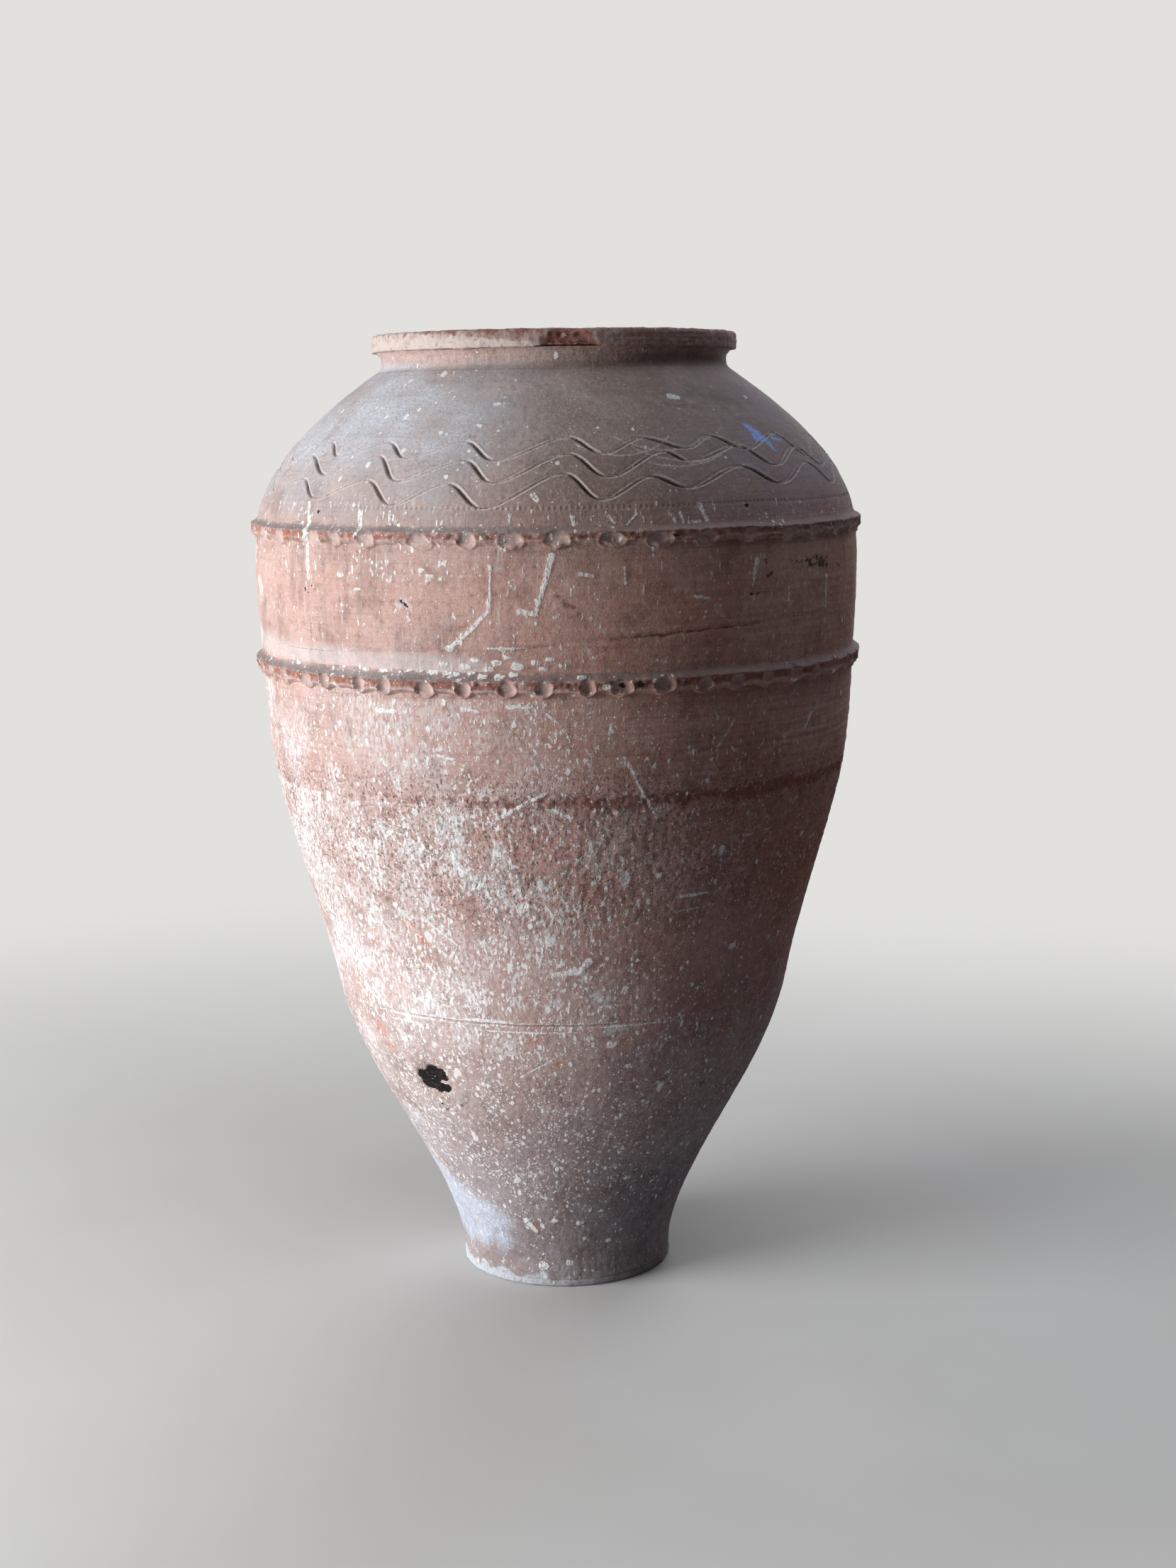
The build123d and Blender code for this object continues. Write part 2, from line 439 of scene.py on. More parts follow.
HAZE = tone(236, 234, 234)
HAZE_COOL = tone(218, 229, 246)
WHITEWASH = tone(232, 241, 252)
LIME = tone(250, 250, 249)
CREAM = tone(243, 240, 235)
DIRT_AND_SHADE = tone(66, 51, 46)
OCHRE = tone(196, 122, 88)
BLUE = tone(160, 188, 255)
HOLLOW_DUST_AND_SHADE = tone(112, 107, 106)
RIM_CREAM = tone(214, 200, 192)
BURR_AND_HIGHLIGHT = tone(226, 217, 210)
PITCH = tone(24, 21, 20)
PITCH_GREY = tone(62, 54, 50)

# How each mark of a mesh shows: colour, share, and in millimetres softness, raggedness and size of rags
UNDER_LIME = {
    "fresh": (CLAY_FRESH, 0.75, 1.8, 5.0, 4.0),
    "pale": (CLAY_PALE, 0.4, 1.0, 2.0, 3.0),
    "ochre": (OCHRE, 0.7, 3.5, 8.0, 7.0),
    # Dark grey in the band's hollow: dust and painted shade
    "hollow_dust_and_shade": (HOLLOW_DUST_AND_SHADE, 0.6, 1.6, 3.0, 6.0),
    "film": (HAZE, 0.36, 6.5, 1.5, 14.0),
}
OVER_LIME = {
    # Dirt and painted shade darkening the incised grooves and the belly's scored line
    "groove": (DIRT_AND_SHADE, 0.55, 0.4, 0.7, 2.5),
    # Pale burr of the strokes, laid mostly on their lit side as a painted highlight
    "burr_and_highlight": (BURR_AND_HIGHLIGHT, 0.55, 0.6, 1.2, 3.0),
    "black": (PITCH, 0.96, 0.3, 2.4, 4.0),
    "smudge": (PITCH, 0.88, 1.1, 2.4, 2.6),
    "blue": (BLUE, 1.0, 2.4, 6.0, 4.0),
}

# Stretches of noise: none, drawn down the wall, drawn round the jar
EVEN, DRAWN_DOWN, DRAWN_ROUND = (1, 1, 1), (1, 1, 0.6), (0.03, 0.03, 1)


class Nodes:
    """A tree of nodes, with short calls for the nodes that it needs."""

    def __init__(self, tree):
        self.tree = tree

    def node(self, kind, settings=None, **inputs):
        node = self.tree.nodes.new(kind)
        for key, value in (settings or {}).items():
            setattr(node, key, value)
        for key, value in inputs.items():
            self.put(node.inputs[key.replace("_", " ")], value)
        return node

    def put(self, socket, value):
        if isinstance(value, bpy.types.NodeSocket):
            self.tree.links.new(value, socket)
        else:
            socket.default_value = value

    def fill(self, node, *values):
        """Puts values into a node's first sockets."""
        for socket, value in zip(node.inputs, values):
            self.put(socket, value)
        return node

    def math(self, operation, first, *others):
        """Puts an operation between values, one after another."""
        for other in others:
            node = self.node("ShaderNodeMath", {"operation": operation})
            first = self.fill(node, first, other).outputs[0]
        return first

    def product(self, *values):
        return self.math("MULTIPLY", *values)

    def sum(self, *values):
        return self.math("ADD", *values)

    def most(self, *values):
        return self.math("MAXIMUM", *values)

    def less(self, value, taken):
        return self.math("SUBTRACT", value, taken)

    def blend(self, share, first, second, output):
        """Blends two shaders at the tree's output."""
        both = self.fill(self.node("ShaderNodeMixShader"), share, first.outputs[0], second.outputs[0])
        self.put(self.tree.nodes[output].inputs["Surface"], both.outputs[0])


class Shader(Nodes):
    """A material with a colour painted in layers and a height for its fine relief."""

    def __init__(self, name):
        self.material = bpy.data.materials.new(name)
        self.material.use_nodes = True
        super().__init__(self.material.node_tree)
        self.surface = self.tree.nodes["Principled BSDF"]
        self.surface.inputs["Specular IOR Level"].default_value = 0.25
        self.coords = self.node("ShaderNodeTexCoord").outputs["Object"]
        place = self.node("ShaderNodeSeparateXYZ", Vector=self.coords).outputs
        self.right, self.back, self.up = place["X"], place["Y"], place["Z"]
        self.colour = None
        self.height = None

    def step(self, value, low, high, to_low=0.0, to_high=1.0):
        """A smooth change from one value to another while a value goes from low to high."""
        ends = {"From_Min": low, "From_Max": high, "To_Min": to_low, "To_Max": to_high}
        node = self.node("ShaderNodeMapRange", {"interpolation_type": "SMOOTHSTEP"}, Value=value, **ends)
        return node.outputs["Result"]

    def mix(self, share, first, second):
        node = self.node("ShaderNodeMix", {"data_type": "RGBA"})
        for place, value in ((0, share), (6, first), (7, second)):
            self.put(node.inputs[place], value)
        return node.outputs[2]

    def cover(self, ink, share):
        """Paints a colour over what is there, by a share from 0 to 1."""
        self.colour = self.mix(share, self.colour, ink)

    def tint(self, ink, value, low, high, share=1.0):
        """Paints a colour over what is there while a value goes from low to high."""
        self.cover(ink, self.step(value, low, high, 0.0, share))

    def raise_by(self, value, rise):
        """Adds a value, times a rise in millimetres, to the height."""
        self.height = self.sum(self.height, self.product(value, rise))

    def ramp(self, value, stops):
        """A colour that changes with a value from 0 to 1."""
        node = self.node("ShaderNodeValToRGB", Fac=value)
        band = node.color_ramp.elements
        while len(band) < len(stops):
            band.new(0.5)
        for element, (place, colour) in zip(band, stops):
            element.position = place
            element.color = colour
        return node.outputs["Color"]

    def stretched(self, stretch, shift, slant=0.0):
        place = {"Scale": stretch, "Location": (shift,) * 3, "Rotation": (0, radians(slant), 0)}
        return self.node("ShaderNodeMapping", Vector=self.coords, **place).outputs["Vector"]

    def noise(self, size, detail=2.0, stretch=EVEN, seed=0, slant=0.0):
        """Cloudy noise from 0 to 1 with lumps of a size in millimetres."""
        place = self.stretched(stretch, seed * 3.7, slant)
        node = self.node("ShaderNodeTexNoise", Vector=place, Scale=1 / (size * MM), Detail=detail)
        return node.outputs["Fac"]

    def specks(self, size, amount, seed, stretch=EVEN, edge=0.05):
        """Ragged dots in a share of the cells of a size in millimetres, one to a cell."""
        place = self.stretched(stretch, seed * 2.3)
        wobble = self.node("ShaderNodeTexNoise", Vector=place, Scale=2.2 / (size * MM), Detail=1.0)
        bent = self.node("ShaderNodeVectorMath", {"operation": "MULTIPLY_ADD"})
        self.fill(bent, wobble.outputs["Color"], (0.5 * size * MM,) * 3, place)
        cells = self.node("ShaderNodeTexVoronoi", Vector=bent.outputs[0], Scale=1 / (size * MM))
        chance = self.node("ShaderNodeSeparateColor", Color=cells.outputs["Color"]).outputs
        there = self.math("GREATER_THAN", self.sum(chance["Red"], amount), 1.0)
        reach = self.product(there, self.sum(self.product(chance["Green"], chance["Green"], 0.28), 0.16))
        return self.step(self.less(reach, cells.outputs["Distance"]), -edge, edge)

    def stain(self, mark, soft, ragged, size):
        """Where a mark of the mesh lies, with a ragged edge, from its distance field in millimetres."""
        field = self.node("ShaderNodeAttribute", {"attribute_name": mark}).outputs["Fac"]
        wander = self.product(self.less(self.noise(size, 2, seed=9), 0.5), 2 * ragged)
        return self.step(self.sum(field, FAR, wander), -soft, soft)

    def bump(self, strength):
        """Shows the height, in millimetres, as fine relief."""
        node = self.node("ShaderNodeBump", Height=self.height, Distance=MM, Strength=strength)
        self.put(self.surface.inputs["Normal"], node.outputs["Normal"])

    def finish(self, roughness):
        self.put(self.surface.inputs["Base Color"], self.colour)
        self.put(self.surface.inputs["Roughness"], roughness)
        return self.material


# Materials

def fired_clay(shader, base, left):
    """Fired clay: paler to the left as painted light, with broad patches, soft blotches and fine grit."""
    shader.colour = base
    shader.tint(CLAY_PALE, shader.noise(150, 3, seed=1), 0.35, 0.75, 0.3)
    # Painted light: the clay is made paler towards the front left, the lit side
    shader.cover(CLAY_PALE, shader.product(left, 0.5))
    shader.tint(CLAY_DARK, shader.noise(34, 5, seed=2), 0.48, 0.72, 0.32)
    mottle = shader.noise(6, 5, seed=3)
    shader.tint(CLAY_DARK, mottle, 0.52, 0.72, 0.3)
    shader.tint(CLAY_PALE, mottle, 0.46, 0.3, 0.3)
    grit = shader.noise(1.5, 3, seed=4)
    shader.tint(CLAY_DARK, grit, 0.54, 0.7, 0.35)
    shader.tint(CLAY_PALE, grit, 0.44, 0.3, 0.3)


def leftness(shader):
    """1 on the front left of the jar, less behind and 0 on the right, where weather reached it less. It also
    sets the painted light that makes the clay paler on the left.
    """
    front = shader.step(shader.back, 0.26, -0.03, 0.35, 1.0)
    return shader.product(shader.step(shader.right, 0.28, -0.27), front)


def height_colour(shader):
    """The clay's colour by height: greyish at the foot and darkened there as painted shade near the floor,
    red at the belly and grey at the shoulder.
    """
    wander = shader.product(shader.less(shader.noise(60, 3, seed=15), 0.5), 0.02)
    return shader.ramp(shader.sum(shader.up, wander), CLAY_AND_FOOT_SHADE_BY_HEIGHT)


def paint_marks(shader, marks, looks):
    """Paints the marks of a mesh."""
    for mark, (ink, share, soft, ragged, size) in looks.items():
        if mark in marks:
            shader.cover(ink, shader.product(shader.stain(mark, soft, ragged, size), share))


def turned_lines(shader, share):
    """Fine lines of the turning, in the colour and in the relief."""
    ribs = shader.noise(3.0, 3, DRAWN_ROUND, 7)
    shader.tint(CLAY_DARK, ribs, 0.52, 0.72, 0.3 * share)
    shader.tint(CLAY_PALE, ribs, 0.46, 0.3, 0.3 * share)
    shader.raise_by(ribs, 0.7 * share)


def torn_clay(shader):
    """The rough, pitted clay under the joint of lower wall and waist."""
    zone = shader.product(shader.step(shader.up, 0.39, 0.47), shader.step(shader.up, 0.60, 0.565))
    holes = shader.product(shader.step(shader.noise(3.2, 5, seed=20), 0.54, 0.68), zone)
    shader.cover(shader.mix(0.6, CLAY_DARK, CLAY_FRESH), shader.product(holes, 0.5))
    shader.raise_by(holes, -1.0)


def dusted(shader, dust):
    """Mottled dust on what faces up, brown in the middle, tinted bluish high on the left by painted sky light
    and mauve at the right by painted cool light from behind.
    """
    normal = shader.node("ShaderNodeNewGeometry").outputs["Normal"]
    facing = shader.node("ShaderNodeSeparateXYZ", Vector=normal).outputs["Z"]
    below_rim = shader.step(shader.up, 0.98, 0.962)
    cloud = shader.step(shader.noise(40, 6, (0.6, 0.6, 1), 10), 0.3, 0.62, 0.35, 1.0)
    grain = shader.step(shader.noise(2.4, 5, seed=18), 0.64, 0.38, 0.35, 1.0)
    lies = shader.product(shader.step(facing, -0.3, 0.5), below_rim, cloud, grain, dust)
    high = shader.step(shader.up, 0.82, 0.9, 0.4, 1.0)
    left = shader.step(shader.right, 0.03, -0.16)
    # Painted sky light: a bluish tint on the dust high on the left
    cool = shader.product(left, shader.noise(60, 5, seed=17), high, 1.9)
    # Painted cool light from behind: a mauve tint on the dust at the right
    ground = shader.mix(shader.step(shader.right, 0.08, 0.24), DUST_BROWN, DUST_WITH_PAINTED_BACK_LIGHT)
    shader.cover(shader.mix(cool, ground, DUST_WITH_PAINTED_SKY_LIGHT), lies)


def hazed(shader, left, haze, veil, marks):
    """A thin, brushed film of lime that the rain left, bluish on the foot."""
    cool = shader.step(shader.up, 0.24, 0.12)
    brushed = shader.step(shader.noise(3.0, 6, (1, 1, 0.45), 13, 12), 0.42, 0.57, 0.1, 1.0)
    brushed = shader.most(brushed, shader.product(cool, veil))
    clouds = shader.step(shader.noise(70, 5, seed=12), 0.34, 0.62)
    film = shader.product(clouds, shader.math("POWER", left, 1.6), haze, brushed, 0.85)
    if "haze" in marks:
        patches = shader.stain("haze", 6 + 12 * veil, 14 - 8 * veil, 14)
        film = shader.most(film, shader.product(patches, brushed, 0.9))
    shader.cover(shader.mix(cool, HAZE, HAZE_COOL), film)


def lime_specks(shader, density, lime, flecks):
    """Spatter of lime: fine dots, drops and ragged, slanting flecks."""
    fine = shader.specks(2.5, shader.product(density, 1.15 * lime), 3)
    drops = shader.specks(5.5, shader.product(density, 1.1 * lime), 2, DRAWN_DOWN)
    large = shader.specks(12, shader.product(density, 0.3 * lime), 1, DRAWN_DOWN, 0.08)
    white = shader.most(fine, drops, shader.product(large, 0.9))
    if flecks:
        ragged = shader.noise(3.2, 4, (1, 1, 0.5), 16, 14)
        ragged = shader.step(shader.sum(ragged, shader.product(density, 0.16 * flecks)), 0.645, 0.7)
        white = shader.most(white, shader.product(ragged, 0.92))
    return white


def limed(shader, left, grain, lime, flecks, marks):
    """Streaks, spatter and splashes of lime, thickest at the front left, thin low on the foot."""
    patchy = shader.step(shader.noise(45, 4, seed=11), 0.36, 0.6, 0.25, 1.0)
    above = shader.step(shader.up, 0.03, 0.17, 0.25, 1.0)
    density = shader.product(patchy, shader.step(left, 0.0, 0.9, 0.1, 1.0), above)
    streak = shader.step(shader.noise(4, 3, (1, 1, 0.05), 14), 0.6, 0.72)
    shader.cover(LIME, shader.product(streak, density, 0.3))
    white = lime_specks(shader, density, lime, flecks)
    if "lime" in marks:
        worn = shader.step(shader.noise(2.2, 4, DRAWN_DOWN, 21), 0.62, 0.5, 0.2, 1.0)
        white = shader.most(white, shader.product(shader.stain("lime", 0.4, 1.6, 3.0), worn))
    shader.cover(shader.mix(grain, LIME, CREAM), shader.product(white, 0.93))
    shader.raise_by(white, 0.35)


def slip_on_rim(shader):
    """Cream slip left on the left half of the rim, below a sloping edge."""
    there = shader.product(shader.step(shader.right, 0.02, -0.03), shader.step(shader.up, 0.981, 0.984))
    ragged = shader.product(shader.noise(12, 5, seed=24), 0.006)
    edge = shader.sum(shader.up, shader.product(shader.right, 0.112), ragged)
    worn = shader.step(shader.noise(14, 5, (1, 1, 1.6), 23), 0.68, 0.44, 0.4, 0.9)
    bare = shader.step(shader.stain("fresh", 1.8, 4.0, 4.0), 0.2, 0.7, 1.0, 0.15)
    shader.cover(RIM_CREAM, shader.product(there, shader.step(edge, 0.9885, 0.9855), worn, bare))


def limed_foot(shader, left):
    """Whitewash with a ragged upper edge round the bottom of the foot, higher to the left."""
    ragged = shader.product(shader.noise(18, 5, DRAWN_DOWN, 19), 0.036)
    edge = shader.sum(ragged, shader.product(left, 0.007), -0.01)
    below = shader.step(shader.less(edge, shader.up), -0.001, 0.002)
    worn = shader.step(shader.noise(3, 4, seed=22), 0.66, 0.5, 0.35, 0.9)
    strong = shader.step(left, 0.2, 0.8, 0.35, 1.0)
    shader.cover(shader.mix(left, DUST, WHITEWASH), shader.product(below, worn, strong))


def weathered(
    name, marks=(), lime=0.0, flecks=0.0, haze=0.0, veil=0.1, dust=0.0, lines=0.0, torn=False, dirt=0.25,
):
    """Clay that stood outside for years: dust where it faces up, lime splashes, streaks and dirt, with
    painted light and shade in some of the marks.
    """
    shader = Shader(name)
    left = leftness(shader)
    grain = shader.noise(1.5, 3, seed=5)
    shader.height = shader.product(grain, 0.4)
    shader.raise_by(shader.noise(5, 4, seed=6), 0.7)
    fired_clay(shader, height_colour(shader), left)
    if lines:
        turned_lines(shader, lines)
    if torn:
        torn_clay(shader)
    grime = shader.product(shader.noise(70, 5, seed=8), shader.noise(12, 3, (1, 1, 0.25), 9))
    shader.tint(DIRT_AND_SHADE, grime, 0.24, 0.4, dirt)
    paint_marks(shader, marks, UNDER_LIME)
    if dust:
        dusted(shader, dust)
    if haze:
        hazed(shader, left, haze, veil, marks)
    limed(shader, left, grain, lime, flecks, marks)
    paint_marks(shader, marks, OVER_LIME)
    if name == "rim_clay":
        slip_on_rim(shader)
    if name in ("foot_clay", "base_clay"):
        limed_foot(shader, left)
    shader.bump(0.9)
    return shader.finish(shader.step(grain, 0.3, 0.7, 0.78, 0.95))


def inside_clay():
    """The wall's inside: plain clay with finger lines, darkened by what was stored."""
    shader = Shader("inside_clay")
    fired_clay(shader, CLAY_INSIDE, 0.0)
    ribs = shader.noise(9, 2, DRAWN_ROUND, 6)
    shader.tint(CLAY_DARK, ribs, 0.5, 0.75, 0.5)
    stored = shader.step(shader.noise(60, 4, seed=8), 0.35, 0.6)
    shader.cover(DIRT_AND_SHADE, shader.product(shader.step(shader.up, 0.75, 0.1), stored, 0.6))
    shader.height = shader.product(ribs, 0.8)
    shader.raise_by(shader.noise(2, 3, seed=4), 0.4)
    shader.bump(0.8)
    return shader.finish(shader.step(ribs, 0.3, 0.7, 0.75, 0.92))


def old_pitch():
    """Old pitch: black and crusted, dull with shinier spots."""
    shader = Shader("old_pitch")
    crust = shader.noise(4, 4, seed=1)
    shader.colour = PITCH
    shader.tint(PITCH_GREY, crust, 0.5, 0.75)
    shader.cover(DUST, shader.product(shader.specks(3, 0.25, 4), 0.6))
    shader.height = shader.product(crust, 1.2)
    shader.bump(0.9)
    return shader.finish(shader.step(crust, 0.35, 0.7, 0.35, 0.85))


INNER = inside_clay()


# Wall courses

INNER_STEP, SHOULDER_INNER_STEP = 9.0, 7.0


def course_section(low, high, size):
    """Section of a wall course between two keyed seams."""
    heights = steps(low, high, size)
    section = Section().run(wall_curve(heights)[0], heights, OUTSIDE)
    lower_key, upper_key = (inside_curve(seam, WALL / 2)[0] for seam in (low, high))
    foot = floor_top if low == FOOT else low + SEAM_KEY
    section.run([upper_key, upper_key], [high, high + SEAM_KEY], INSIDE)
    inner = steps(foot, high + SEAM_KEY, INNER_STEP)[::-1]
    section.run(inside_radius(inner), inner, INSIDE)
    section.run([lower_key, lower_key], [foot, low], INSIDE)
    return section


def finger_lines(ring):
    """Ridges of the fingers on the inside of a course."""
    ridges = 0.9 * turning(ring.points, 22, 31) + 0.5 * noise(ring.points, 35, 32)
    ring.relief += np.where(ring.skin, 0, 0.5 * ridges)


def wall_piece(node, section, columns, relief, detail, material):
    """A wall course with its relief and its marks."""
    ring = Ring(section, columns)
    ring.press(lumps(ring.points) + relief(ring))
    finger_lines(ring)
    detail(ring)
    ring.piece(node, WALL_STRIPS, material, INNER)


SCORED_SEAM = FOOT_SEAM - 1.0
ROUGH_JOINT = LOWER_SEAM + 5.0
WAIST_LINE = 600.0


def scored_seam(ring):
    """The ragged scored line over the lowest seam."""
    ragged = 1.2 * noise(ring.points * (1, 1, 0.2), 24, 41)
    line = near(ring.height, SCORED_SEAM + ragged, 1.5)
    ridge = near(ring.height, SCORED_SEAM + 3.5 + ragged, 2.0)
    return -1.0 * line + 0.7 * ridge * (0.6 + 0.5 * noise(ring.points, 9, 42))


def rough_joint(ring):
    """The torn, gritty line where the waist was luted on."""
    ragged = 3.5 * noise(ring.points * (1, 1, 0.2), 26, 43)
    gap = ring.height - ROUGH_JOINT - ragged
    bare = 3.5 - abs(gap) * 0.6 + 4.0 * noise(ring.points, 18, 40) - 5.0 * fade(ring.degrees, 8, -45)
    ring.lay("fresh", bare)
    return near(gap, 0, 7.0) * (1.9 * noise(ring.points, 6, 44) - 0.7)


# The ragged hole of the foot: its place, and its lobes and tongue as distance across, up and radius
HOLE_ANGLE, HOLE_HEIGHT = -39.0, 248.0
HOLE_LOBES = [
    (-8.0, -2.0, 14.0), (5.0, 6.0, 12.5), (12.5, 5.0, 10.5), (4.0, -9.0, 10.0), (14.0, -9.5, 8.5),
]
HOLE_TONGUE = (16.0, -2.6, 10.5)


def lobe_field(across, up):
    """Distance inside the lobes of the hole."""
    return np.max([radius - np.hypot(across - x, up - y) for x, y, radius in HOLE_LOBES], axis=0)


def hole_inside(ring):
    """Distance inside the edge of the hole, with the tongue of clay left in it."""
    across = np.radians(ring.degrees - HOLE_ANGLE) * wall_curve(HOLE_HEIGHT)[0]
    up = along_wall(ring.height) - along_wall(HOLE_HEIGHT)
    x, y, radius = HOLE_TONGUE
    tongue = np.hypot(across - x, (up - y) * 3.2) - radius
    ragged = 2.6 * noise(ring.points, 7, 45) + 1.9 * noise(ring.points, 3.2, 39)
    return np.minimum(lobe_field(across, up) - 2.0, tongue) + ragged


def foot_relief(ring):
    grit = gritty(ring.points) * 0.4
    inside = hole_inside(ring)
    sunk = -11.0 * fade(inside, -0.6, 1.6)
    broken = -1.4 * near(inside, -1.5, 3.0)
    flare = 2.2 * fade(ring.height, 34, FOOT)
    return grit + 0.25 * turning(ring.points, 7, 3) + scored_seam(ring) + sunk + broken + flare


# Marks of the courses: a spot has its angle, height and radius, a stroke its path and width
SEAM_LIME = [(-62, 318), (-47, 319), (-35, 320), (-20, 320.5), (-5, 321), (10, 320), (22, 319), (30, 318)]
SCRATCHES = [
    ([(-13.3, 351), (-2.7, 357)], 0.9), ([(3.7, 352.5), (9.4, 356.5)], 0.9),
    ([(-11.6, 263), (1.2, 295)], 1.0), ([(-47, 312), (-20, 314.5), (4, 315)], 0.9),
    ([(-30, 337), (-17, 341)], 0.8), ([(-24, 326), (-12, 327)], 0.9), ([(37.7, 507.5), (45.4, 511)], 0.8),
    ([(-60, 262), (-45, 268)], 0.8), ([(-52, 232), (-44, 243)], 0.8), ([(8, 341), (16, 343)], 0.9),
    ([(24, 437), (34, 440)], 0.8), ([(-20, 180), (-8, 172)], 0.8),
]
FOOT_SPOTS = [
    (6.4, 76.7, 3.6), (-5.2, 80, 3.2), (22, 51, 3.0), (15.8, 91, 2.2), (-12, 24, 6.0), (2, 28, 4.0),
    (11.6, 300, 4.0),
]
FOOT_HAZE = [
    (-82, 128, 30), (-70, 112, 32), (-58, 94, 34), (-45, 80, 32), (-35, 74, 24), (-74, 72, 40),
    (-92, 90, 40), (-60, 58, 30), (-46, 56, 24), (-34, 52, 16), (-74, 158, 16),
]
FOOT_HAZE_HIGH = [
    (-24, 305, 14), (-14, 297, 12), (-44, 292, 10), (-62, 280, 16), (13, 318, 10), (-58, 190, 14),
    (-75, 230, 20),
]
FOOT_OCHRE = [
    (-53, 294, 9), (-51, 276, 7), (-1, 280, 3.5), (-7, 306, 3), (14, 302, 3), (20, 253, 2.5),
    (45, 300, 5), (-15, 70, 4.5),
]
FOOT_DRIP = [([(-19, 78), (-15, 66)], 4.0)]

# Throws of splashes: mark, count, seed, heights, angles, width, rise and, where they run down, length
FOOT_THROWS = [
    ("lime", 260, 101, (90, 318), (-120, 40), 1.2, 0.35, 2.0),
    ("lime", 70, 102, (20, 318), (40, 240), 1.0, 0.3),
    ("black", 14, 103, (212, 232), (-40, -29), 1.3, 0.4),
]


def foot_detail(ring):
    ring.throw(FOOT_THROWS)
    ring.spots("lime", FOOT_SPOTS, 0.5)
    ring.spots("haze", FOOT_HAZE + FOOT_HAZE_HIGH)
    ring.spots("ochre", FOOT_OCHRE)
    ring.strokes("lime", FOOT_DRIP, 0.9)
    ring.stroke("lime", SEAM_LIME, 1.2, 0.2)
    ring.strokes("lime", SCRATCHES, -0.2)
    ring.lay("black", hole_inside(ring) + 0.6)


def lower_relief(ring):
    rough = fade(ring.height, 380, 470)
    grit = gritty(ring.points) * (0.4 + 0.8 * rough)
    return grit + 0.2 * turning(ring.points, 7, 3) + scored_seam(ring) + rough_joint(ring)


LOWER_HAZE = [
    (-22, 530, 12), (-20, 510, 13), (-22, 486, 13), (-16, 472, 14), (-11, 458, 13), (-7, 446, 11),
    (-30, 500, 14), (-10, 370, 10), (-36, 520, 13), (-40, 470, 14), (-28, 455, 12), (-44, 380, 14),
    (-20, 350, 12), (-3, 470, 9), (-12, 505, 10), (-58, 560, 14), (-10.5, 345, 9), (-33, 436, 7),
    (-27, 418, 7), (-48, 400, 8), (-55, 470, 12), (-60, 520, 14), (-66, 420, 11), (-50, 345, 13),
    (-30, 335, 12), (5, 372, 8), (-2, 344, 9), (8, 350, 8), (-70, 350, 13), (-42, 540, 9), (-76, 480, 18),
    (-35, 365, 8),
]
LOWER_SPLASHES = [
    ([(5.7, 391), (4.0, 381), (-1.8, 377.5)], 4.0), ([(-37.2, 442), (-34, 428)], 2.6),
    ([(-30.4, 430), (-23.5, 407)], 2.0), ([(-11.5, 540), (-7, 553), (-2.3, 566)], 2.0),
    ([(-5, 556), (2, 541)], 2.0), ([(12.2, 593), (14.3, 569), (18, 536)], 1.6),
    ([(-21, 498), (-19, 482)], 2.4), ([(-8.5, 470), (-8, 458)], 1.8), ([(5.7, 515), (5.7, 511)], 3.0),
    ([(11.6, 497), (11.6, 495)], 2.4), ([(19.8, 478), (19.8, 477)], 2.2), ([(25, 453), (31, 454)], 1.8),
    ([(-45, 505), (-41, 492)], 2.2), ([(-52, 455), (-50, 440)], 2.2),
]
LOWER_OCHRE = [([(-35, 424), (-31, 404)], 6.0), ([(-24, 384), (-22, 372)], 3.0)]
LOWER_THROWS = [
    ("lime", 420, 111, (326, 540), (-120, 20), 1.3, 0.35, 4.0),
    ("lime", 80, 112, (326, 540), (20, 240), 1.0, 0.3, 2.0),
]


def lower_detail(ring):
    ring.throw(LOWER_THROWS)
    ring.strokes("lime", LOWER_SPLASHES, 0.4)
    ring.spots("haze", LOWER_HAZE)
    ring.stroke("lime", [(angle, height + 4) for angle, height in SEAM_LIME], 0.9, 0.2)
    ring.strokes("lime", SCRATCHES, -0.2)
    ring.strokes("ochre", LOWER_OCHRE)


def waist_relief(ring):
    lines = 0.55 * turning(ring.points, 4.5, 3) + 0.5 * turning(ring.points, 11, 7)
    smooth = fade(ring.height, LOWER_SEAM + 6, LOWER_SEAM + 24)
    groove = -0.9 * near(ring.height, WAIST_LINE + 1.5 * noise(ring.points, 90, 46), 1.6)
    return smooth * lines + (1 - smooth) * gritty(ring.points) + rough_joint(ring) + groove


WAIST_HAZE = [
    (-60, 590, 16), (-72, 640, 18), (-47, 572, 12), (-30, 570, 9), (-80, 600, 20), (-14, 566, 7),
]
WAIST_SPLASHES = [
    ([(-34.2, 641), (-30.3, 641)], 3.0), ([(-17, 646), (-14, 643)], 2.2), ([(-9, 648), (-5, 648)], 2.0),
    ([(-2, 641), (0, 632)], 1.4), ([(12.2, 593), (14.3, 569), (18, 536)], 1.6),
    ([(-11.5, 540), (-7, 553), (-2.3, 566)], 2.0), ([(33, 628), (29, 598)], 0.9),
    ([(54, 622), (52, 608)], 2.2), ([(-22, 600), (-19, 597)], 1.6), ([(-5, 612), (-4, 604)], 1.6),
]
WAIST_THROWS = [
    ("lime", 60, 121, (588, 600), (-70, 40), 1.2, 0.3, 2.0),
    ("lime", 150, 122, (556, 652), (-120, 40), 1.1, 0.3, 6.0),
    ("lime", 50, 123, (556, 652), (40, 240), 0.9, 0.3, 6.0),
]


def waist_detail(ring):
    ring.throw(WAIST_THROWS)
    ring.strokes("lime", WAIST_SPLASHES, 0.3)
    ring.spots("haze", WAIST_HAZE)


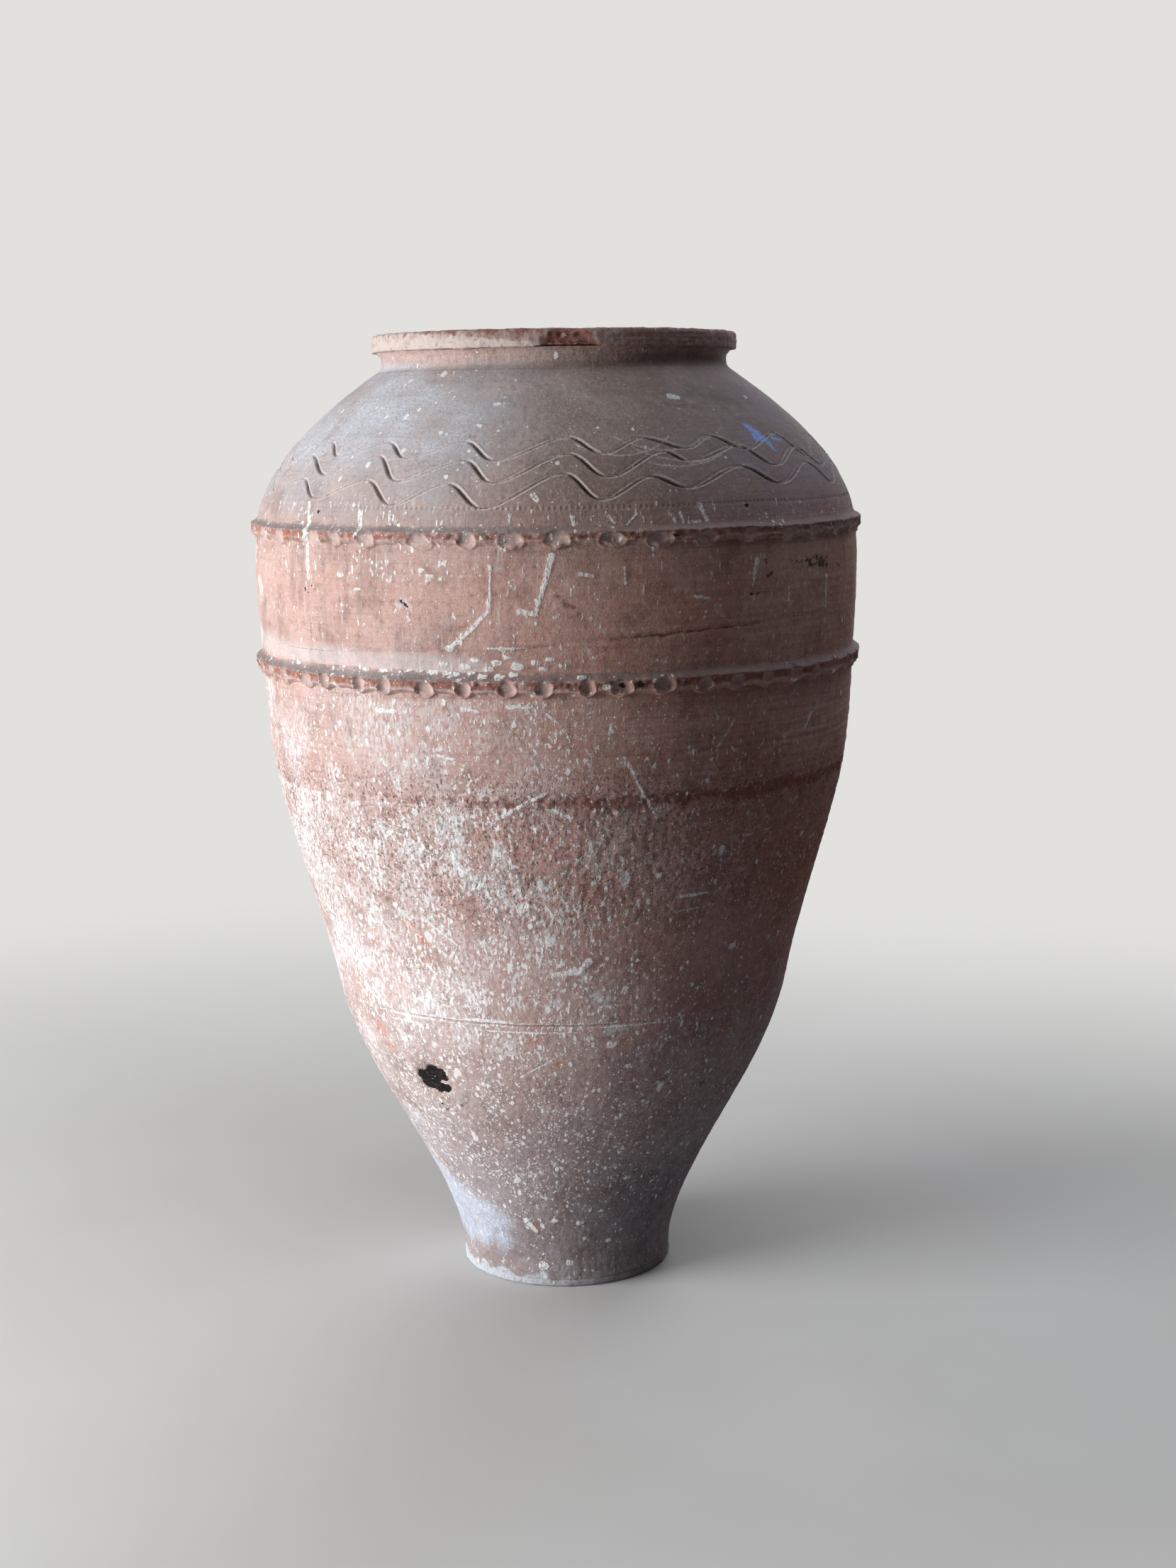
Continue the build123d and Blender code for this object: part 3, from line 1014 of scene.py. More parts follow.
BELLY_LINE = [
    (-180, 706), (-82, 712), (-68, 700), (-57, 694), (-45, 695.5), (-20, 700), (-10, 700), (2, 708),
    (14, 712.5), (30, 716.5), (54, 723), (74, 723), (180, 706),
]


def belly_line(ring):
    """Height and depth of a line scored round the belly by eye."""
    angles, heights = zip(*BELLY_LINE)
    flat = ring.points * FLAT
    jagged = fade(ring.degrees, 4, 14) * noise(flat, 7, 34)
    line = np.interp(ring.degrees, angles, heights) + 1.2 * noise(flat, 60, 47) + 1.6 * jagged
    deep = 0.5 + 0.4 * noise(flat, 45, 48) + 0.5 * noise(flat, 9, 35)
    return line, deep


def belly_relief(ring):
    lines = 0.3 * turning(ring.points, 5, 3) + 0.4 * turning(ring.points, 14, 7)
    line, deep = belly_line(ring)
    strong = 0.3 + 0.7 * fade(ring.degrees, -60, -40) * fade(ring.degrees, 46, 30)
    ragged = 1 + 0.8 * noise(ring.points, 8, 50)
    cut = -1.5 * deep * strong * ragged * near(ring.height, line, 1.3)
    lip = 0.6 * strong * near(ring.height, line + 3.5, 3.0)
    return lines + 0.14 * noise(ring.points, 5, 5) + cut + lip


BELLY_LIME = [
    ([(-50, 798), (-50, 780), (-49.8, 764)], 3.0), ([(-11.3, 781), (-11.4, 760), (-11.6, 739)], 1.3),
    ([(-11.3, 779), (-11.3, 777)], 2.0), ([(-11.6, 748), (-11.7, 738)], 2.2),
    ([(-18.9, 703), (-15.5, 718), (-12, 737)], 2.4), ([(-19.2, 702.5), (-18.4, 703)], 3.2),
    ([(-0.8, 789), (-2.2, 762)], 3.4), ([(-2.2, 762), (-3.6, 737)], 2.2),
    ([(-6.4, 738), (-3.6, 735)], 3.0), ([(-12, 703.6), (-5.3, 703.7)], 1.1),
    ([(-9.8, 703), (-7.2, 703)], 2.2), ([(11.5, 777), (11.6, 763)], 1.3),
    ([(11.6, 762), (11.6, 761)], 2.0), ([(37.1, 778), (36.4, 762)], 3.0), ([(36.4, 762), (36, 753)], 1.2),
    ([(45, 750), (45, 737)], 1.4), ([(57.1, 758), (57.5, 723)], 2.0), ([(4, 772), (6, 770)], 2.0),
    ([(24, 748), (27, 745)], 1.6),
]
BELLY_SPOTS = [
    (-14.2, 692.7, 2.6), (-10.4, 690, 3.2), (-6.8, 686.6, 4.2), (-3.7, 690, 2.8), (-1.3, 693, 2.2),
    (-16, 686, 3.0), (-12, 684, 2.6), (-8.6, 695, 2.0), (-20, 688, 2.4), (-2.5, 684, 2.4),
    (-41, 769, 2.6), (-22, 770, 2.6), (-23.6, 776, 1.8), (-37, 756, 1.6),
]
BELLY_HAZE = [(-27.5, 746, 1.5), (-74, 745, 16), (-80, 780, 18), (-80, 700, 16)]
BELLY_FILM = [(-100, 700), (-70, 692), (-48, 689), (-30, 687), (-14, 685)]
BELLY_NICKS = [([(-28, 747.4), (-26.5, 740.5)], 1.0), ([(-27.5, 745), (-27, 743)], 1.4)]
BELLY_DOTS = [([(35.7, 746.8), (36.1, 746.4)], 1.5), ([(37.3, 747.2), (37.6, 747.0)], 1.9)]
BELLY_CHIPS = [([(0, 752), (2.2, 744)], 1.4), ([(1.2, 744), (3.2, 741)], 1.6)]
BELLY_THROWS = [
    ("lime", 90, 131, (692, 792), (-110, 20), 0.8, 0.25, 9.0),
    ("lime", 70, 133, (692, 792), (20, 250), 0.75, 0.25, 6.0),
    ("lime", 60, 134, (766, 786), (-40, -18), 1.0, 0.25, 4.0),
    ("black", 8, 136, (746, 757), (-52, -49), 1.0, -0.6),
    ("smudge", 34, 160, (767, 777), (50.5, 58.3), 2.0, 0.0),
    ("smudge", 10, 161, (771.5, 776), (45, 50.5), 1.5, 0.0),
    ("smudge", 9, 162, (763, 768), (39.6, 42.6), 1.5, 0.0),
    ("smudge", 3, 163, (776, 779), (38.6, 39.6), 1.5, 0.0),
    ("smudge", 4, 164, (763.5, 768), (62, 63.5), 1.5, 0.0),
]


def belly_detail(ring):
    ring.strokes("lime", BELLY_LIME, 0.4)
    ring.spots("lime", BELLY_SPOTS, 0.4)
    ring.spots("haze", BELLY_HAZE)
    ring.stroke("film", BELLY_FILM, 12.0)
    ring.throw(BELLY_THROWS)
    ring.strokes("black", BELLY_NICKS, -1.2)
    ring.strokes("black", BELLY_DOTS, -0.5)
    ring.strokes("fresh", BELLY_CHIPS, -0.8)
    line, deep = belly_line(ring)
    torn = fade(ring.degrees, 8, 16) * fade(ring.degrees, 40, 30)
    # Painted shade with dirt: a thin dark line along the scored line, wider where it is torn
    ring.lay("groove", 0.3 + 1.1 * deep * torn - abs(along_wall(ring.height) - along_wall(line)))


# Incised waves: turning points of each line round the front as angle and height, crest and trough by turns
WAVES = [
    [(-57, 859), (-51, 840), (-37, 859), (-31, 835), (-19.5, 856), (-13.5, 832), (2, 864), (7.5, 838),
     (18, 860), (24, 848), (38, 867), (46, 849), (60, 869)],
    [(-60, 881), (-50, 862), (-37, 882), (-31, 857), (-17, 877), (-12, 855), (3, 882), (9, 859), (22, 883),
     (26, 872), (40, 886), (47, 866), (60, 884)],
    [(-55, 894), (-50, 880), (-36, 894), (-31, 878), (-18, 894), (-12, 875), (3, 897), (9, 880), (18, 895),
     (27, 884), (34, 896), (41, 882), (55, 897)],
]
WAVE_DROP, WAVE_TURN, WAVE_LENGTH = 22.0, 6.3, 20.2
WAVES_TOP, WAVES_RADIUS = 905.0, 300.0


def wave_points(front, seed):
    """The front's turning points, and more of the same round the back."""
    draw = np.random.default_rng(seed)
    points = list(front)
    start, crest = points[-1]
    rest = front[0][0] + 360 - start
    count = round(rest / WAVE_LENGTH)
    turn = rest / count
    for wave in range(count):
        high = crest + draw.uniform(-4, 3)
        angle = start + wave * turn + WAVE_TURN + draw.uniform(-0.7, 0.7)
        points.append((angle, high - WAVE_DROP + draw.uniform(-3, 3)))
        points.append((start + (wave + 1) * turn, high if wave < count - 1 else front[0][1]))
    return points


def incised(ring):
    """Relief of the waves: deep, burred strokes where the stick came down, fine double ones where it rose."""
    relief = np.zeros(ring.relief.shape)
    along = along_wall(ring.height)
    for number, front in enumerate(WAVES):
        angles, heights = np.array(wave_points(front, 61 + number)).T
        at = (ring.degrees[0] - angles[0]) % 360 + angles[0]
        leg = np.clip(np.searchsorted(angles, at, side="right") - 1, 0, len(angles) - 2)
        t = (at - angles[leg]) / (angles[leg + 1] - angles[leg])
        fall = heights[leg + 1] < heights[leg]
        line = along_wall(heights[leg] + (heights[leg + 1] - heights[leg]) * fade(t, 0, 1))
        line = rounded(line + 0.8 * noise(ring.points[0], 14, 73 + number))
        lit = np.where(fall, 1, -1)
        swing = np.sin(pi * t)
        press = np.where(fall, 0.7 + 0.5 * swing, 0.6) + 0.2 * noise(ring.points, 16, 71 + number)
        half = np.where(fall, 1.2 + 1.0 * swing, 1.2)
        relief += scratched(ring, along, line, half, press, lit)
        twin = np.where(fall, 0.0, swing ** 0.5) * (0.75 + 0.5 * noise(ring.points, 30, 76 + number))
        relief += scratched(ring, along, line + 4.2 * swing, 1.1, np.clip(twin, 0, 1) * 0.7, lit)
    return relief


def rounded(line, reach=24, width=9.0):
    """A line round the jar with its corners rounded over a few columns."""
    weight = near(np.arange(-reach, reach + 1), 0, width)
    wrapped = np.concatenate([line[-reach:], line, line[:reach]])
    return np.convolve(wrapped, weight / weight.sum(), "valid")


def scratched(ring, along, line, half, press, lit):
    """A scratch along a line, burred on one side more than the other, and its marks: dirt and painted shade
    in the groove, and a pale burr with a painted highlight mostly on the lit side.
    """
    rate = np.gradient(line, radians(360 / len(line)) * WAVES_RADIUS)
    above = (along - line) / np.sqrt(1 + rate * rate)
    gap = abs(above)
    raised = near(above * lit, half * 1.35, 0.9) + 0.3 * near(above * lit, -half * 1.35, 0.8)
    # Painted shade with dirt inside the groove
    ring.lay("groove", (half - gap) * press - 0.55)
    # Painted highlight: the pale burr lies mostly on the side of the stroke that faces the light
    ring.lay("burr_and_highlight", 2.8 * press * raised - 1.0)
    return press * (0.6 * raised - 1.1 * half * np.clip(1 - (gap / half) ** 2, 0, 1))


# More shallow strokes on the front right, each from an angle and height to another, with its sag
ARCS = [(4, 890, 24, 896, 14), (12, 896, 32, 894, 12), (16, 884, 40, 890, 14), (18, 872, 36, 882, 8)]


def shallow_arcs(ring):
    for start, low, end, high, sag in ARCS:
        t = np.linspace(0, 1, 13)
        path = zip(start + (end - start) * t, low + (high - low) * t - 4 * sag * t * (1 - t))
        # Pale strokes in the burr mark, which also carries the painted highlight
        ring.stroke("burr_and_highlight", path, 0.9, 0.12)


DOTTED_LINE, DOTS = 833.0, 360


def dotted_line(ring):
    """A row of small pricks under the waves."""
    line = DOTTED_LINE + 2 * noise(ring.points * FLAT, 120, 49)
    beat = 0.5 + 0.5 * np.cos(np.radians(ring.degrees) * DOTS)
    return -0.9 * near(ring.height, line, 1.3) * beat


def shoulder_relief(ring):
    lines = 0.2 * turning(ring.points, 5, 3) + 0.35 * turning(ring.points, 16, 7)
    eased = fade(ring.height, SHOULDER_SEAM, SHOULDER_SEAM - 10)
    return (lines + 0.12 * noise(ring.points, 5, 5)) * eased + incised(ring) + dotted_line(ring)


SHOULDER_LIME = [
    ([(-51.6, 836), (-50.6, 822), (-50, 808)], 2.2), ([(-37, 829), (-36.4, 808)], 3.4),
    ([(-30.4, 829), (-30, 810)], 1.8), ([(2.9, 823), (2.8, 814)], 2.0), ([(25.9, 833), (27.4, 811)], 2.2),
    ([(23.5, 815), (25.4, 817)], 2.6), ([(30, 933), (31.8, 932)], 4.6), ([(57, 932), (58, 932)], 2.6),
    ([(-13.8, 928), (-13, 928)], 3.0), ([(-3.9, 844), (-3.2, 839)], 3.2),
    ([(-55.1, 926), (-54.5, 936)], 1.2), ([(22, 826), (22.4, 814)], 1.4), ([(14, 826), (12, 816)], 1.2),
    ([(9, 824), (10, 818)], 1.6), ([(-8, 827), (-8, 818)], 1.4),
]
SHOULDER_BLUE = [
    ([(46.6, 903), (48.6, 893)], 3.8), ([(47.6, 898), (49.2, 891.5)], 5.2),
    ([(49.4, 890), (50.2, 881)], 2.4), ([(52.4, 892), (54.6, 890)], 2.2),
    ([(46.6, 893.5), (48.2, 891)], 4.6),
]
SHOULDER_CHIPS = [
    ([(27.5, 926), (30, 924), (33, 925)], 2.4), ([(34, 923), (37, 922.5)], 2.0),
    ([(-17.8, 899), (-16.8, 897)], 1.6),
]
SHOULDER_PITS = [([(-48, 829), (-48, 828)], 1.8, -0.8), ([(36, 830), (36, 829)], 2.2, -1.0)]
SHOULDER_THROWS = [
    ("lime", 220, 141, (816, 838), (-180, 180), 0.8, 0.25, 6.0),
    ("lime", 80, 142, (835, 940), (-180, 180), 0.8, 0.25, 2.0),
]


def shoulder_detail(ring):
    ring.strokes("lime", SHOULDER_LIME, 0.2)
    ring.throw(SHOULDER_THROWS)
    shallow_arcs(ring)
    ring.strokes("blue", SHOULDER_BLUE)
    ring.strokes("fresh", SHOULDER_CHIPS)
    for pit in SHOULDER_PITS:
        ring.stroke("black", *pit)


BORE_FOOT = 957.4


def shoulder_section():
    """The shoulder's section, which ends under the neck in a step and a short bore."""
    fine, coarse = steps(BELLY_SEAM, WAVES_TOP, 1.0), steps(WAVES_TOP, SHOULDER_SEAM, 1.4)
    heights = np.concatenate([fine, coarse[1:]])
    section = Section().run(wall_curve(heights)[0], heights, OUTSIDE)
    step_top, foot = SHOULDER_SEAM + SEAM_KEY, BELLY_SEAM + SEAM_KEY
    section.run([neck_key, neck_key], [SHOULDER_SEAM, step_top], INSIDE)
    section.run([mouth_radius, mouth_radius], [step_top, BORE_FOOT], INSIDE)
    radii, inner = inside_curve(steps(foot, SHOULDER_SEAM, SHOULDER_INNER_STEP)[::-1])
    section.run(radii[inner > foot], inner[inner > foot], INSIDE)
    low_key = inside_curve(BELLY_SEAM, WALL / 2)[0]
    section.run([inside_radius(foot), low_key], [foot, foot], INSIDE)
    section.run([low_key, low_key], [foot - 0.1, BELLY_SEAM], INSIDE)
    return section


# Thumbed bands, with heights counted from their seam
BAND_TOP, BAND_BOTTOM, BAND_EDGE = 12.0, -15.5, 1.5
ARRIS, FACE_LEAN = 3.8, 0.03
DENT_CENTRE, DENT_DEPTH = -3.0, 5.6


def band_section(seam):
    heights = seam + steps(BAND_BOTTOM, BAND_TOP + BAND_EDGE, 0.8)
    section = Section().run(wall_curve(heights)[0], heights, OUTSIDE)
    back = steps(heights[0] + 2, heights[-1] - 2, 6.0)[::-1]
    return section.run(inside_curve(back, 2.0 * BURIED)[0], back, INSIDE)


def dent_places(ring, dents, first, radius, draw):
    """Distance along the band to the nearest dent, and that dent's number."""
    turn = 360 / dents
    centres = first + turn * np.arange(dents) + draw.normal(0, 0.07 * turn, dents)
    gaps = (ring.degrees[0][None, :] - centres[:, None] + 180) % 360 - 180
    nearest = abs(gaps).argmin(0)
    return np.radians(np.take_along_axis(gaps, nearest[None, :], 0)[0]) * radius, nearest


def band_crest(up, arris, lip, proud):
    """The strip before its thumbing: a hollow above, a leaning face, and a rounded lip below."""
    hollow = proud * np.clip(1 - (up - arris) / (BAND_TOP - arris), 0, 1) ** 2.4
    face = proud * (1 - FACE_LEAN * (arris - up))
    under = np.clip(1 - (lip - up) / 3.6, 0, 1) ** 0.7
    lower = proud * (1 - FACE_LEAN * (arris - lip)) * under
    return np.where(up > arris, hollow, np.where(up > lip, face, lower))


def band_marks(ring, up, arris, lip, scoop, ridge):
    """Bare clay on the ridges, rust to the left, dust and painted shade in the hollow, pale clay in dents and
    on the lip.
    """
    wide = 2.2 * noise(ring.points, 9, 86) + 1.5 * noise(ring.points * FLAT, 40, 89)
    bare = 5.0 * ridge * near(up, -0.5, 4.4) - 2.9 + wide
    ring.lay("fresh", bare)
    ring.lay("ochre", 2 * bare - 5 + 5 * noise(ring.points, 7, 78) - 6 * fade(ring.degrees, -35, 5))
    # Dust and painted shade: a dark grey line in the hollow above the arris
    ring.lay("hollow_dust_and_shade", 3.4 - abs(up - arris - 2.8) + 1.5 * noise(ring.points, 14, 79))
    ring.lay("pale", np.maximum(3.0 * scoop - 0.9, 2.0 * near(up, lip + 0.8, 1.3) - 1.2))


def band_ring(seam, proud, dents, first, seed, lip_height, frill, thumb):
    """A strip of clay over a seam: hollowed above, thumbed along its face, with a scalloped lower lip."""
    ring = Ring(band_section(seam), BAND_COLUMNS)
    draw = np.random.default_rng(seed)
    side, nearest = dent_places(ring, dents, first, wall_curve(seam)[0] + proud, draw)
    strength = draw.uniform(0.7, 1.15, dents)[nearest]
    width = draw.uniform(0.8, 1.15, dents)[nearest]
    shift = draw.normal(0, 0.9, dents)[nearest]
    flat = ring.points * FLAT
    up = ring.height - seam - 1.0 * noise(flat, 60, 80)
    arris = ARRIS + 0.9 * noise(flat, 30, 81) + 0.7 * noise(flat, 7, 85)
    lip = lip_height - 4.0 * near(side, 0, 8.0) + 1.0 * noise(flat, 12, 82)
    crest = band_crest(up, arris, lip, proud)
    off = (side / (thumb[0] * width)) ** 2 + ((up - DENT_CENTRE - shift) / thumb[1]) ** 2
    scoop = 1 - off + 0.3 * noise(ring.points, 8, 87)
    ridge = 1 - fade(scoop, -0.1, 0.25)
    dent = np.clip(scoop, 0, 1) ** 0.75 * strength * DENT_DEPTH * proud / 8
    rimmed = 1.0 * near(scoop, -0.1, 0.18) * fade(up, 3.0, -5.0)
    crumbs = 1.6 * noise(ring.points, 5, 83) + 0.9 * noise(ring.points, 11, 84) - 0.8
    torn = crumbs * ridge * near(up, 0, 4.0)
    edged = frill * near(up, lip + 0.8, 1.1) * (0.8 + 0.4 * noise(flat, 9, 88))
    edges = fade(up, BAND_BOTTOM, BAND_BOTTOM + 1.3) * fade(up, BAND_TOP + BAND_EDGE, BAND_TOP + 0.2)
    shape = crest - np.minimum(dent, crest * 0.8) + torn + rimmed + edged - 0.9 * (1 - edges)
    ring.press(lumps(ring.points) + shape)
    band_marks(ring, up, arris, lip, scoop, ridge)
    return ring


BAND_LIME = [
    (-31, 681, 2.2), (-27, 682.3, 3.0), (-24.6, 682, 2.6), (-22, 681, 3.2), (-19.4, 680, 2.8),
    (-18, 679, 2.4), (-13, 677, 2.6), (-10, 677, 3.0), (-7.6, 679, 2.6), (-15, 680.6, 2.0), (4, 676, 2.0),
    (-36, 680, 1.8), (8.4, 667, 2.6), (-55, 680, 2.4),
]
BAND_CRUSTS = [([(10.6, 668), (11.1, 666.5)], 2.6), ([(13.8, 669), (14.3, 667.5)], 2.6)]
LOWER_BAND_THROWS = [("lime", 70, 151, (656, 683), (-110, 20), 1.0, 0.3)]
UPPER_BAND_RUNS = [([(-50, 820), (-50, 792)], 3.4, 0.4), ([(-36.5, 820), (-36.4, 809)], 3.0, 0.3)]
UPPER_BAND_CRUST = [([(20, 806), (20.5, 805)], 1.5)]
UPPER_BAND_THROWS = [("lime", 60, 152, (796, 819), (-110, 60), 0.9, 0.3, 3.0)]


def lower_band(material):
    ring = band_ring(
        WAIST_SEAM, proud=7.6, dents=51, first=-2.6, seed=91, lip_height=-6.0, frill=0.9, thumb=(9.6, 8.4),
    )
    ring.spots("lime", BAND_LIME, 0.5)
    ring.throw(LOWER_BAND_THROWS)
    ring.strokes("black", BAND_CRUSTS, 0.6)
    ring.piece("lower_band", BAND_STRIPS, material, INNER)


def upper_band(material):
    ring = band_ring(
        BELLY_SEAM, proud=6.7, dents=42, first=1.4, seed=92, lip_height=-3.6, frill=0.25, thumb=(11.5, 7.6),
    )
    for run in UPPER_BAND_RUNS:
        ring.stroke("lime", *run)
    ring.throw(UPPER_BAND_THROWS)
    ring.strokes("black", UPPER_BAND_CRUST, 0.3)
    ring.piece("upper_band", BAND_STRIPS, material, INNER)


# Neck and rim

def hermite(t, start, end, start_slope, end_slope):
    """A smooth curve between two values, with its slopes at both ends, while t goes from 0 to 1."""
    ease = t * t * (3 - 2 * t)
    return start + (end - start) * ease + t * (1 - t) * (start_slope * (1 - t) - end_slope * t)


def neck_section():
    """The coved neck, narrowest at its waist, with a key at both ends."""
    heights = steps(SHOULDER_SEAM, rim_bottom, 0.9)
    waist, cove = SHOULDER_SEAM + NECK_WAIST, neck_root - NECK_COVE
    low = hermite((heights - SHOULDER_SEAM) / NECK_WAIST, neck_root, cove, NECK_WAIST * LEANS[-1], 0)
    high = hermite((heights - waist) / (rim_bottom - waist), cove, neck_root, 0, NECK_FLARE)
    section = Section().run(np.where(heights < waist, low, high), heights, OUTSIDE)
    step_top = SHOULDER_SEAM + SEAM_KEY
    section.run([neck_key, neck_key], [rim_bottom, neck_top], INSIDE)
    section.run([mouth_radius] * 4, np.linspace(neck_top, step_top, 4), INSIDE)
    return section.run([neck_key, neck_key], [step_top, SHOULDER_SEAM], INSIDE)


def neck_piece(material):
    ring = Ring(neck_section(), RIM_COLUMNS)
    rough = 0.5 * turning(ring.points, 4, 3) + 0.1 * noise(ring.points, 5, 5)
    eased = fade(ring.height, SHOULDER_SEAM, SHOULDER_SEAM + 6)
    pits = np.clip(noise(ring.points, 3.4, 57) - 0.5, 0, 1)
    ring.press((rough - 2.0 * pits) * eased + lumps(ring.points))
    ring.lay("fresh", 16 * pits * eased - 6)
    ring.piece("neck_ring", RIM_STRIPS, material, INNER)


SPALL_ANGLE, SPALL_WIDE, SPALL_NARROW, SPALL_DEPTH = 4.6, 33.0, 17.0, 5.0
RIM_LOW_EDGE, RIM_TOP_EDGE, MOUTH_EDGE = 2.0, 5.0, 3.0


def rim_section():
    """The rim's section with worn, rounded edges."""
    corner = np.linspace(0, pi / 2, 7)[1:]
    low, high, mouth = rim_radius - RIM_LOW_EDGE, rim_radius - RIM_TOP_EDGE, mouth_radius + MOUTH_EDGE
    below, above, lip = rim_bottom + RIM_LOW_EDGE, top - RIM_TOP_EDGE, top - MOUTH_EDGE
    radii, heights = joined([
        ([neck_key + 6, rim_radius - 4.5, low], rim_bottom),
        (low + RIM_LOW_EDGE * np.sin(corner), below - RIM_LOW_EDGE * np.cos(corner)),
        (rim_radius, steps(below, above, 1.1)[1:]),
        (high + RIM_TOP_EDGE * np.cos(corner), above + RIM_TOP_EDGE * np.sin(corner)),
        (np.linspace(high, mouth, 16)[1:], top),
        (mouth - MOUTH_EDGE * np.sin(corner), lip + MOUTH_EDGE * np.cos(corner)),
        (mouth_radius, np.linspace(lip, neck_top, 6)[1:]),
    ])
    return Section().run(radii, heights, OUTSIDE).run([neck_key, neck_key], [neck_top, rim_bottom], INSIDE)


def rim_piece(material):
    ring = Ring(rim_section(), RIM_COLUMNS)
    points = ring.points
    rough = 0.6 * noise(points, 6, 5) + 0.7 * noise(points, 22, 2) + 0.4 * turning(points, 3, 3)
    edge = near(ring.height, top - 1, 4) * near(ring.radius, rim_radius - 1, 5)
    worn = -1.5 * np.clip(noise(points, 20, 51) + 0.1, 0, 1) * edge
    chips = -2.4 * np.clip(noise(points, 11, 52) - 0.35, 0, 1) * near(ring.radius, rim_radius, 6)
    across = np.radians(ring.degrees - SPALL_ANGLE) * rim_radius
    width = SPALL_NARROW + (SPALL_WIDE - SPALL_NARROW) * (top - ring.height) / (top - rim_bottom)
    inside = width - abs(across) + 3.5 * noise(points, 9, 53)
    depth = fade(inside, -6, 16) * near(ring.radius, rim_radius, 9)
    spall = -SPALL_DEPTH * depth * (0.85 + 0.4 * noise(points, 6, 54))
    ring.press(rough + worn + chips + spall)
    bare = np.minimum(inside, 5) * near(ring.radius, rim_radius, 12) - 1
    part = 0.25 + near(ring.degrees, -22, 22)
    nibbled = 5.0 * edge * part * (noise(points * (1, 1, 0.6), 8, 56) + 0.3) - 1.6
    ring.lay("fresh", np.maximum(bare, nibbled))
    ring.lay("pale", 4.0 * noise(points * (1, 1, 0.1), 5, 58) - 1.4 - 2.0 * fade(ring.degrees, -60, -10))
    ring.piece("rim_ring", RIM_STRIPS, material, INNER)


# Floor slab, coils inside and the pitch in the hole

BEAD = 3.0
COIL_DABS, FLOOR_COIL_DABS = 34, 22


def slab_piece(material):
    """The floor: a slab with a rounded edge, keyed into the wall."""
    key = (seam_radii[0] + inside_curve(FOOT)[0]) / 2
    corner = np.linspace(0, pi / 2, 7)
    edge = slab_radius - BEAD
    radii, heights = joined([
        (0.0, [0.0]),
        (np.linspace(4, edge, 16), 0.0),
        (edge + BEAD * np.sin(corner[1:]), BEAD - BEAD * np.cos(corner[1:])),
        (edge + BEAD * np.cos(corner), FOOT - BEAD + BEAD * np.sin(corner)),
    ])
    section = Section().run(radii, heights, OUTSIDE)
    section.run([key, key], [FOOT, floor_top], INSIDE)
    section.run(np.linspace(key, 0, 26)[1:], [floor_top] * 25, INSIDE)
    ring = Ring(section, COIL_COLUMNS)
    rim = fade(ring.radius, slab_radius - 14, slab_radius - 2)
    bead = 0.7 * noise(ring.points, 14, 55) + 0.4 * noise(ring.points, 6, 5)
    ring.press(np.where(ring.height > 1.0, bead * rim, 0))
    swirl = 0.8 * np.sin(ring.radius / 2.6 + np.radians(ring.degrees)) + 0.5 * noise(ring.points, 12, 57)
    floor = (ring.height > floor_top - 0.5) & (ring.radius < key - 6)
    ring.relief += np.where(floor, swirl * fade(ring.radius, 2, 12), 0)
    join_ends(*ring.piece("base_slab", SLAB_STRIPS, material, INNER))


def coil_piece(node, seed):
    """A flattened coil smeared over a seam inside, with the dabs of the fingers."""
    low, high = span(node)
    heights = steps(low, high, 3.2)[::-1]
    middle, half = (low + high) / 2, (high - low) / 2
    crest = inside_radius(middle) - min(radii_near(node, middle, AT_CREST))
    bulge = crest * np.clip(1 - ((heights - middle) / half) ** 2, 0, 1)
    section = Section().run(inside_radius(heights) - bulge, heights, OUTSIDE)
    back = steps(low + 1, high - 1, 12.0)
    section.run(inside_radius(back) + BURIED, back, INSIDE)
    ring = Ring(section, COIL_COLUMNS)
    wave = np.cos(np.radians(ring.degrees) * COIL_DABS + 2 * noise(ring.points, 120, seed))
    dabs = wave * near(ring.height, middle, half * 0.6)
    smear = 0.9 * noise(ring.points * (1, 1, 0.4), 16, seed + 1)
    ring.press((smear - 0.7 * dabs) * near(ring.height, middle, half * 0.8))
    ring.piece(node, COIL_STRIPS, INNER)


def floor_coil_piece():
    """The coil pressed into the corner of floor and wall."""
    low, high = span("floor_coil")
    corner = inside_radius(low)
    turn = np.linspace(pi / 2, 0, 12)
    size = high - low
    section = Section().run(corner - size * (1 - np.sin(turn)), low + size * (1 - np.cos(turn)), OUTSIDE)
    section.run([corner - size * 0.8, corner + BURIED], [low - 1.0, low - 1.0], INSIDE)
    section.run([corner + BURIED, inside_radius(high) + BURIED], [low, high - 1], INSIDE)
    ring = Ring(section, COIL_COLUMNS)
    dabs = 0.8 * np.cos(np.radians(ring.degrees) * FLOOR_COIL_DABS) + 0.8 * noise(ring.points, 14, 58)
    ring.press(dabs * near(ring.height, (low + high) / 2, size * 0.4))
    ring.piece("floor_coil", COIL_STRIPS, INNER)


PITCH_FRONT_ROWS, PITCH_BACK_ROWS, PITCH_SPOKES = 22, 6, 96
PITCH_FRONT, PITCH_BACK = -4.5, -12.0


def pitch_reach(turn):
    """How far the lobes of the hole reach in each direction."""
    reach = np.zeros(len(turn))
    for step in np.linspace(1, 30, 117):
        inside = lobe_field(step * np.cos(turn), step * np.sin(turn)) > 0.5
        reach = np.where(inside, step, reach)
    return reach


